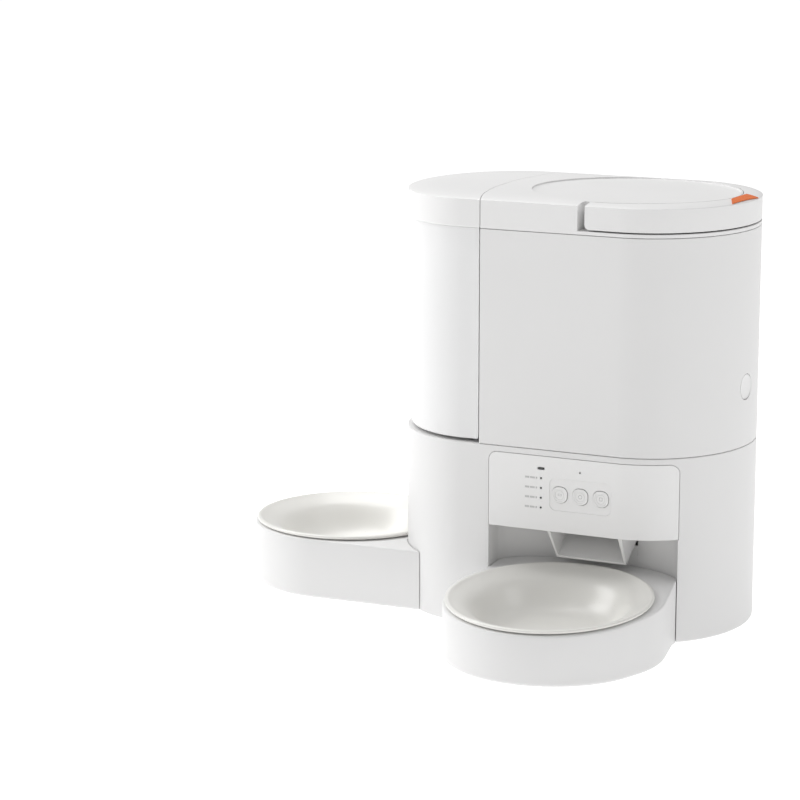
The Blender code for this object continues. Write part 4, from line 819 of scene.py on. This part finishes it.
def thrown(name, rings, sides=64):
    clear()
    radius, height = (value * MM for value in rings[0])
    bpy.ops.mesh.primitive_circle_add(vertices=sides, radius=radius, location=(0, 0, height),
                                      fill_type="NOTHING")
    piece = named(name)
    pick(piece, "EDGE", lambda place: True)
    before = rings[0]
    for ring in rings[1:]:
        bpy.ops.mesh.extrude_region_move(TRANSFORM_OT_translate={"value": (0, 0, (ring[1] - before[1]) * MM)})
        bpy.ops.transform.resize(value=(ring[0] / before[0], ring[0] / before[0], 1),
                                 center_override=(0, 0, ring[1] * MM))
        before = ring
    bpy.ops.mesh.edge_face_add()
    first = rings[0][0] * MM
    pick(piece, "EDGE", lambda place: abs(place.z - height) < 1e-6 and
         math.hypot(place.x, place.y) < first + 1e-6)
    bpy.ops.mesh.edge_face_add()
    bpy.ops.mesh.select_all(action="SELECT")
    bpy.ops.mesh.normals_make_consistent(inside=False)
    hold(piece)
    modifier = piece.modifiers.new("Rounded", "SUBSURF")
    modifier.levels = modifier.render_levels = 2
    bpy.ops.object.modifier_apply(modifier=modifier.name)
    bpy.ops.object.shade_smooth()
    return piece


def stand(piece, centre, height, tilt):
    piece.location = (centre.x, centre.y, height)
    piece.rotation_euler = (tilt, 0, 0)
    hold(piece)
    bpy.ops.object.transform_apply(location=True, rotation=True, scale=True)
    return piece


food_bowl = stand(thrown("food_bowl_glazed", bowl_rings), FOOD_MIDDLE, FOOD_DECK + RIM_HEIGHT, FOOD_TILT)
water_bowl = stand(thrown("water_bowl_glazed", bowl_rings), WATER_MIDDLE, WATER_DECK + RIM_HEIGHT, 0)
print("each bowl", len(food_bowl.data.polygons), "faces, rim at",
      round(max(v.co.z for v in water_bowl.data.vertices) / MM, 1), "mm")

# %% [markdown]
# ## The ribbon
# A short woven tab shows where to lift the handle. It starts as one flat square whose corners are moved to
# their places, is divided finely, dropped onto the crowned lid with a Shrinkwrap, and given its thickness.

# %% Ribbon
clear()
ribbon_corners = ((127.1, -19), (128.2, 13), (139.4, 8), (133.2, -34.5))
bpy.ops.mesh.primitive_plane_add(size=1, location=(0, 0, SUMMIT + 5 * MM))
ribbon = named("pull_ribbon")
signs = ((-1, -1), (-1, 1), (1, 1), (1, -1))
for (side_x, side_y), (x, y) in zip(signs, ribbon_corners):
    pick(ribbon, "VERT", lambda place, a=side_x, b=side_y: abs(place.x - a / 2) < 1e-6 and
         abs(place.y - b / 2) < 1e-6)
    bpy.ops.transform.translate(value=(HUB.x + x * MM - side_x / 2, HUB.y + y * MM - side_y / 2, 0))
pick(ribbon, "FACE", lambda centre, normal: True)
bpy.ops.mesh.subdivide(number_cuts=19)
under_tab = crowned("under tab", LID_SEAM)
hold(ribbon)
drop = ribbon.modifiers.new("Drop", "SHRINKWRAP")
drop.target, drop.wrap_method, drop.offset = under_tab, "PROJECT", 0.25 * MM
drop.use_negative_direction, drop.use_positive_direction, drop.use_project_z = True, False, True
bpy.ops.object.modifier_apply(modifier=drop.name)
bpy.data.objects.remove(under_tab)
body = ribbon.modifiers.new("Thickness", "SOLIDIFY")
body.thickness, body.offset = 0.45 * MM, 1
bpy.ops.object.modifier_apply(modifier=body.name)
smooth(ribbon, 50)
print("ribbon", len(ribbon.data.polygons), "faces")

# %% [markdown]
# ## Writing materials as sums
# A material is a graph of nodes, but it reads better as arithmetic. `Line` stands for one wire: adding or
# multiplying two of them adds the Math node that does it. `Finish` is one material, and its single `add`
# method makes any other node from its type, its settings and what goes into its sockets.

# %% Lines and finishes
class Line:
    def __init__(self, sheet, socket):
        self.sheet, self.socket = sheet, socket

    def maths(self, operation, first, second=0.0):
        return self.sheet.add("ShaderNodeMath", {"operation": operation}, {0: first, 1: second})

    def __add__(self, other):
        return self.maths("ADD", self, other)

    def __sub__(self, other):
        return self.maths("SUBTRACT", self, other)

    def __rsub__(self, other):
        return self.maths("SUBTRACT", other, self)

    def __mul__(self, other):
        return self.maths("MULTIPLY", self, other)

    def __lt__(self, other):
        return self.maths("LESS_THAN", self, other)

    def __gt__(self, other):
        return self.maths("GREATER_THAN", self, other)

    def __abs__(self):
        return self.maths("ABSOLUTE", self)

    __radd__, __rmul__ = __add__, __mul__

    def most(self, other):
        return self.maths("MAXIMUM", self, other)

    def sine(self):
        return self.maths("SINE", self)

    def root(self):
        return self.maths("SQRT", self)


class Finish:
    def __init__(self, name, **steady):
        self.material = bpy.data.materials.new(name)
        self.material.use_nodes = True
        self.tree = self.material.node_tree
        self.shader = self.tree.nodes["Principled BSDF"]
        for socket, value in steady.items():
            self.shader.inputs[socket.replace("_", " ")].default_value = value

    def add(self, kind, settings, inputs, output=0):
        node = self.tree.nodes.new(kind)
        for key, value in settings.items():
            if key == "stops":
                for place, colour in value:
                    stop = node.color_ramp.elements.new(place)
                    stop.color = colour
                node.color_ramp.elements.remove(node.color_ramp.elements[0])
                node.color_ramp.elements.remove(node.color_ramp.elements[-1])
            else:
                setattr(node, key, value)
        for key, value in inputs.items():
            if isinstance(value, Line):
                self.tree.links.new(value.socket, node.inputs[key])
            else:
                node.inputs[key].default_value = value
        return Line(self, node.outputs[output])

    def wire(self, socket, line):
        self.tree.links.new(line.socket, self.shader.inputs[socket])

    def place(self, centre=(0, 0, 0), turn=(0, 0, 0)):
        """Object coordinates, moved so that centre is their zero."""
        here = self.add("ShaderNodeTexCoord", {}, {}, "Object")
        back = self.add("ShaderNodeVectorMath", {"operation": "SUBTRACT"}, {0: here, 1: centre})
        if any(turn):
            back = self.add("ShaderNodeMapping", {}, {"Vector": back, "Rotation": turn})
        return back

    def axes(self, place):
        return [self.add("ShaderNodeSeparateXYZ", {}, {0: place}, axis) for axis in "XYZ"]

    def noise(self, place, scale, detail=2.0):
        return self.add("ShaderNodeTexNoise", {}, {"Vector": place, "Scale": scale, "Detail": detail}, "Fac")

    def mix(self, share, first, second):
        first, second = (value if isinstance(value, Line) else (*value, 1) for value in (first, second))
        return self.add("ShaderNodeMix", {"data_type": "RGBA"}, {0: share, 6: first, 7: second}, 2)

    def bump(self, height, distance, strength=1.0):
        line = self.add("ShaderNodeBump", {}, {"Height": height, "Distance": distance, "Strength": strength})
        self.wire("Normal", line)


def tone(value, warmth=0.0):
    return (value * (1 + warmth), value, value * (1 - warmth))


print("materials can be written as sums")

# %% [markdown]
# ## Satin plastic
# The covers are white plastic from an etched mould: an even satin with a very fine grain and faint clouding
# where the melt met. A bump of a few micrometres gives the grain, and slow noise drives small changes of
# colour and roughness, so large faces never look like flat paint.

# %% Moulded plastics
def moulded(name, colour, rough=0.4, grain=0.00001, fine=2600, cloud=0.03, **steady):
    finish = Finish(name, **steady)
    here = finish.place()
    slow = finish.noise(here, 16, 3.0)
    quick_grain = finish.noise(here, fine, 1.0)
    dull = tuple(channel * (1 - cloud) for channel in colour)
    finish.wire("Base Color", finish.mix(slow, dull, colour))
    finish.wire("Roughness", (slow - 0.5) * 0.1 + (quick_grain - 0.5) * 0.08 + rough)
    finish.bump(quick_grain, grain)
    return finish


white = moulded("satin white shell", tone(0.8, 0.004), rough=0.42)
lid_white = moulded("satin white lid", tone(0.84, 0.004), rough=0.4)
inner_white = moulded("plain white inside", tone(0.66, 0.01), rough=0.5, grain=0.00002, fine=1500)
gear_white = moulded("slippery gear plastic", tone(0.72, 0.03), rough=0.34, grain=0.00001)
dark = moulded("dark base plate", tone(0.05), rough=0.55, grain=0.00004, fine=1300, cloud=0.15)
rubber = moulded("soft rubber", tone(0.12), rough=0.75, grain=0.00003, fine=1800, cloud=0.12)
clear_rubber = moulded("milky silicone", tone(0.62, 0.02), rough=0.5, grain=0.00001, cloud=0.05)
print("seven moulded finishes")

# %% [markdown]
# ## Frosted tank, glazed bowls, metal and board
# The tank is milky, so light spreads inside it: subsurface scattering with a little transmission does that.
# The bowls have a warm glossy glaze with faint pooling and a few tiny specks. Metal is brushed by noise
# stretched along one axis, and the circuit board is green with copper tracks.

# %% Other finishes
frosted = Finish("frosted tank", Roughness=0.38, IOR=1.46, Subsurface_Weight=0.25, Subsurface_Scale=0.01,
                 Subsurface_Radius=(1, 1, 1), Transmission_Weight=0.06)
here = frosted.place()
slow = frosted.noise(here, 12, 3.0)
mist = frosted.noise(here, 2400, 1.0)
frosted.wire("Base Color", frosted.mix(slow, tone(0.93), tone(0.97)))
frosted.bump(mist, 0.000012)

glaze = Finish("warm white glaze", Coat_Weight=0.35, Coat_Roughness=0.2, IOR=1.5)
here = glaze.place()
pool = glaze.noise(here, 22, 4.0)
speck = glaze.add("ShaderNodeTexVoronoi", {}, {"Vector": here, "Scale": 260.0}, "Distance") < 0.09
rare = glaze.noise(here, 90, 0.0) > 0.68
shade = glaze.mix(pool, (0.84, 0.83, 0.79), (0.87, 0.862, 0.83))
glaze.wire("Base Color", glaze.mix(speck * rare * 0.25, shade, (0.5, 0.44, 0.36)))
glaze.wire("Roughness", (pool - 0.5) * 0.08 + 0.33)
glaze.bump(glaze.noise(here, 35, 2.0), 0.00005, 0.6)

steel = Finish("brushed steel", Metallic=1.0)
here = steel.add("ShaderNodeMapping", {}, {"Vector": steel.place(), "Scale": (60, 1500, 1500)})
streak = steel.noise(here, 1.0, 2.0)
steel.wire("Base Color", steel.mix(streak, tone(0.5), tone(0.68)))
steel.wire("Roughness", streak * 0.2 + 0.25)

lens = Finish("smoked lens", Coat_Weight=0.5, IOR=1.5)
here = lens.place()
lens.wire("Base Color", lens.mix(lens.noise(here, 700, 1.0), tone(0.015), tone(0.05)))
lens.wire("Roughness", lens.noise(here, 900, 1.0) * 0.1 + 0.1)

board = Finish("circuit board", IOR=1.5)
track = board.add("ShaderNodeTexBrick", {}, {"Vector": board.place(turn=(math.pi / 2, 0, 0)), "Scale": 120.0,
                                            "Mortar Size": 0.02}, "Fac")
board.wire("Base Color", board.mix(track, (0.02, 0.11, 0.05), (0.08, 0.22, 0.1)))
board.wire("Roughness", track * 0.1 + 0.35)
print("five special finishes")

# %% [markdown]
# ## Woven ribbon
# The tab is a plain-woven band. Two sets of fine waves cross at right angles, turned to follow the band, and
# the higher of the two is the thread on top. The same waves also paint the orange darker where the thread
# lies low, as painted shade between the threads, mixed with a random fluff.

# %% Weave
weave = Finish("orange woven band", Roughness=0.75, Sheen_Weight=0.08)
tab_middle = (HUB.x + 132 * MM, HUB.y - 8 * MM, 0)
along, across = weave.axes(weave.place(tab_middle, (0, 0, math.radians(-5))))[:2]
THREAD = 0.8 * MM
warp = (along * (2 * math.pi / THREAD)).sine()
weft = (across * (2 * math.pi / THREAD)).sine()
thread_relief_and_shade = (warp * weft) * 0.5 + 0.5
fluff = weave.noise(weave.place(), 1500, 2.0)
# Painted shade: the orange is darker where the thread lies low, following the bump's relief; the fluff is
# random tone.
weave.wire("Base Color", weave.mix(thread_relief_and_shade * 0.6 + fluff * 0.4, (0.62, 0.1, 0.006), (0.9, 0.2, 0.014)))
weave.bump(thread_relief_and_shade + fluff * 0.4, 0.0001)
print("thread", THREAD / MM, "mm")

# %% [markdown]
# ## Marks on the panel
# Each dot has a small printed caption. The captions here are plain grey dashes, which stand for words without
# being any. A mask is a product of comparisons: inside these two limits across, and inside those two in
# height.

# %% Fascia and buttons
def inside(line, low, high):
    return (line > low) * (line < high)


fascia = moulded("satin white fascia", tone(0.87, 0.004), rough=0.4)
x, y, z = fascia.axes(fascia.place())
printed = None
for number in range(1, 5):
    dot_x, dot_z = lights[f"indicator_light_{number}"][:2]
    row = inside(z, dot_z - 0.75 * MM, dot_z + 0.75 * MM)
    for start, end in ((-13.2, -9.6), (-9.0, -5.0), (-4.4, -3.0)):
        dash = inside(x, dot_x + start * MM, dot_x + end * MM) * row
        printed = dash if printed is None else printed.most(dash)
plain = fascia.mix(fascia.noise(fascia.place(), 16, 3.0), tone(0.845, 0.004), tone(0.87, 0.004))
fascia.wire("Base Color", fascia.mix(printed * 0.5, plain, tone(0.25)))


def button_finish(name, centre_x, mark):
    finish = moulded(name, tone(0.87, 0.004), rough=0.36)
    x, y, z = finish.axes(finish.place((centre_x, 0, key_z)))
    away = (x * x + z * z).root()
    if mark == "drop":
        shape = inside(away, 1.25 * MM, 1.6 * MM)
    elif mark == "bars":
        shape = (inside(abs(z), 0.5 * MM, 0.8 * MM) * inside(abs(x), -MM, 1.5 * MM)).most(
            inside(abs(x), 1.2 * MM, 1.5 * MM) * inside(abs(z), -MM, 0.8 * MM))
    else:
        shape = inside(abs(x).most(abs(z)), 1.0 * MM, 1.35 * MM)
    front = y < FRONT + 1.5 * MM
    clouded = finish.mix(finish.noise(finish.place(), 16, 3.0), tone(0.845, 0.004), tone(0.87, 0.004))
    finish.wire("Base Color", finish.mix(shape * front * 0.55, clouded, tone(0.2)))
    return finish


button_marks = {"feed_button": "bars", "water_button": "drop", "lock_button": "square"}
print("captions beside", len(lights) - 1, "lights")

# %% [markdown]
# ## Putting it together
# Each cover now gets its finish, rides on its body and takes the place of the plain node it was modelled on.
# The remaining nodes keep their own shape and get a finish of their own.

# %% Covers
def dressed(piece, finish, body, slot, *nodes):
    piece.data.materials.clear()
    piece.data.materials.append(finish.material)
    return finish_piece(piece, body, *nodes, slot=slot)


dressed(base_shell, white, "base", "shell", "base_housing")
dressed(panel, fascia, "base", "shell", "control_panel")
dressed(chute, white, "base", "shell", "food_chute")
for name, piece in lenses.items():
    dressed(piece, lens, "base", "lens", name)
for name, piece in caps.items():
    low, high = button_boxes[name]
    own = button_finish(name.replace("_", " ") + " finish", (low.x + high.x) / 2, button_marks[name])
    dressed(piece, own, name, "button", name)
dressed(hopper, white, "hopper", "shell", "hopper_housing")
dressed(release, lid_white, "release_button", "button", "hopper_release_button")
dressed(lid, lid_white, "hopper_lid", "shell", "hopper_lid")
dressed(handle, lid_white, "handle", "shell", "lid_handle")
dressed(ribbon, weave, "handle", "ribbon", "pull_tab")
dressed(tank, frosted, "tank", "tank", "water_tank")
dressed(tank_lid, lid_white, "tank_lid", "shell", "tank_lid")
dressed(food_tray, white, "food_tray", "shell", "food_tray")
dressed(water_tray, white, "water_tray", "shell", "water_tray")
dressed(food_bowl, glaze, "food_tray", "ceramic", "food_bowl")
dressed(water_bowl, glaze, "water_tray", "ceramic", "water_bowl")

# %% Everything behind the covers
by_slot = {"shell": white, "tank": frosted, "button": lid_white, "ceramic": glaze, "inner": inner_white,
           "gears": gear_white, "lens": lens, "dark": dark, "board": board, "steel": steel, "rubber": rubber,
           "ribbon": weave}
slot_of = {node: entry["slot"] for entry in frame["record"]["materials"] for node in entry.get("nodes", [])}
milky = {"lid_seal", "tank_lid_seal", "valve_plunger", "water_hose"}
dressed_nodes = 0
for name, node in frame["nodes"].items():
    if node.hide_render:
        continue
    finish = clear_rubber if name in milky else by_slot[slot_of.get(name, "inner")]
    node.data.materials.clear()
    node.data.materials.append(finish.material)
    dressed_nodes += 1
print(dressed_nodes, "nodes dressed")

# %% [markdown]
# ## Camera, floor and light
# The camera looks down a little from the front right, through a long lens that keeps the tub's sides nearly
# parallel. The room is a white studio: a bright surround, one wide panel from each side and a soft one above.

# %% Camera
clear()
bpy.ops.object.camera_add(location=(0.8838, -1.9494, 0.6163),
                          rotation=(math.radians(90 - 11.704), 0, math.radians(25.716)))
camera = bpy.context.active_object
camera.name = "Studio camera"
camera.data.lens, camera.data.sensor_width = 126.34, 36
bpy.context.scene.camera = camera
print("camera", [round(v, 3) for v in camera.location], "lens", camera.data.lens)

# %% Floor
clear()
bpy.ops.mesh.primitive_plane_add(size=80, location=(HUB.x, HUB.y, 0))
floor = named("Studio floor")
paper = Finish("pale floor", Roughness=0.9, Emission_Color=(1, 1, 1, 1), Emission_Strength=0.8)
paper.wire("Base Color", paper.mix(paper.noise(paper.place(), 3, 2.0), tone(0.53), tone(0.55)))
floor.data.materials.append(paper.material)
print("floor laid")

# %% Lights
world = bpy.data.worlds.new("Studio")
bpy.context.scene.world = world
world.use_nodes = True
world.node_tree.nodes["Background"].inputs["Color"].default_value = (1, 1, 1, 1)
world.node_tree.nodes["Background"].inputs["Strength"].default_value = 0.42
bpy.context.scene.view_settings.view_transform = "Standard"


def softbox(name, place, size, power, target=(HUB.x, HUB.y, 0.17)):
    clear()
    bpy.ops.object.light_add(type="AREA", location=place)
    lamp = bpy.context.active_object
    lamp.name = name
    lamp.data.shape, lamp.data.size, lamp.data.size_y = "RECTANGLE", *size
    lamp.data.energy = power
    lamp.rotation_euler = (Vector(target) - Vector(place)).to_track_quat("-Z", "Y").to_euler()
    return lamp


softbox("Left panel", (-2.2, -0.4, 1.5), (1.4, 1.4), 26)
softbox("Right panel", (2.2, -0.1, 1.6), (0.8, 1.2), 6)
softbox("Overhead", (-0.9, 0.6, 2.3), (2.0, 1.8), 31)
print("three panels")
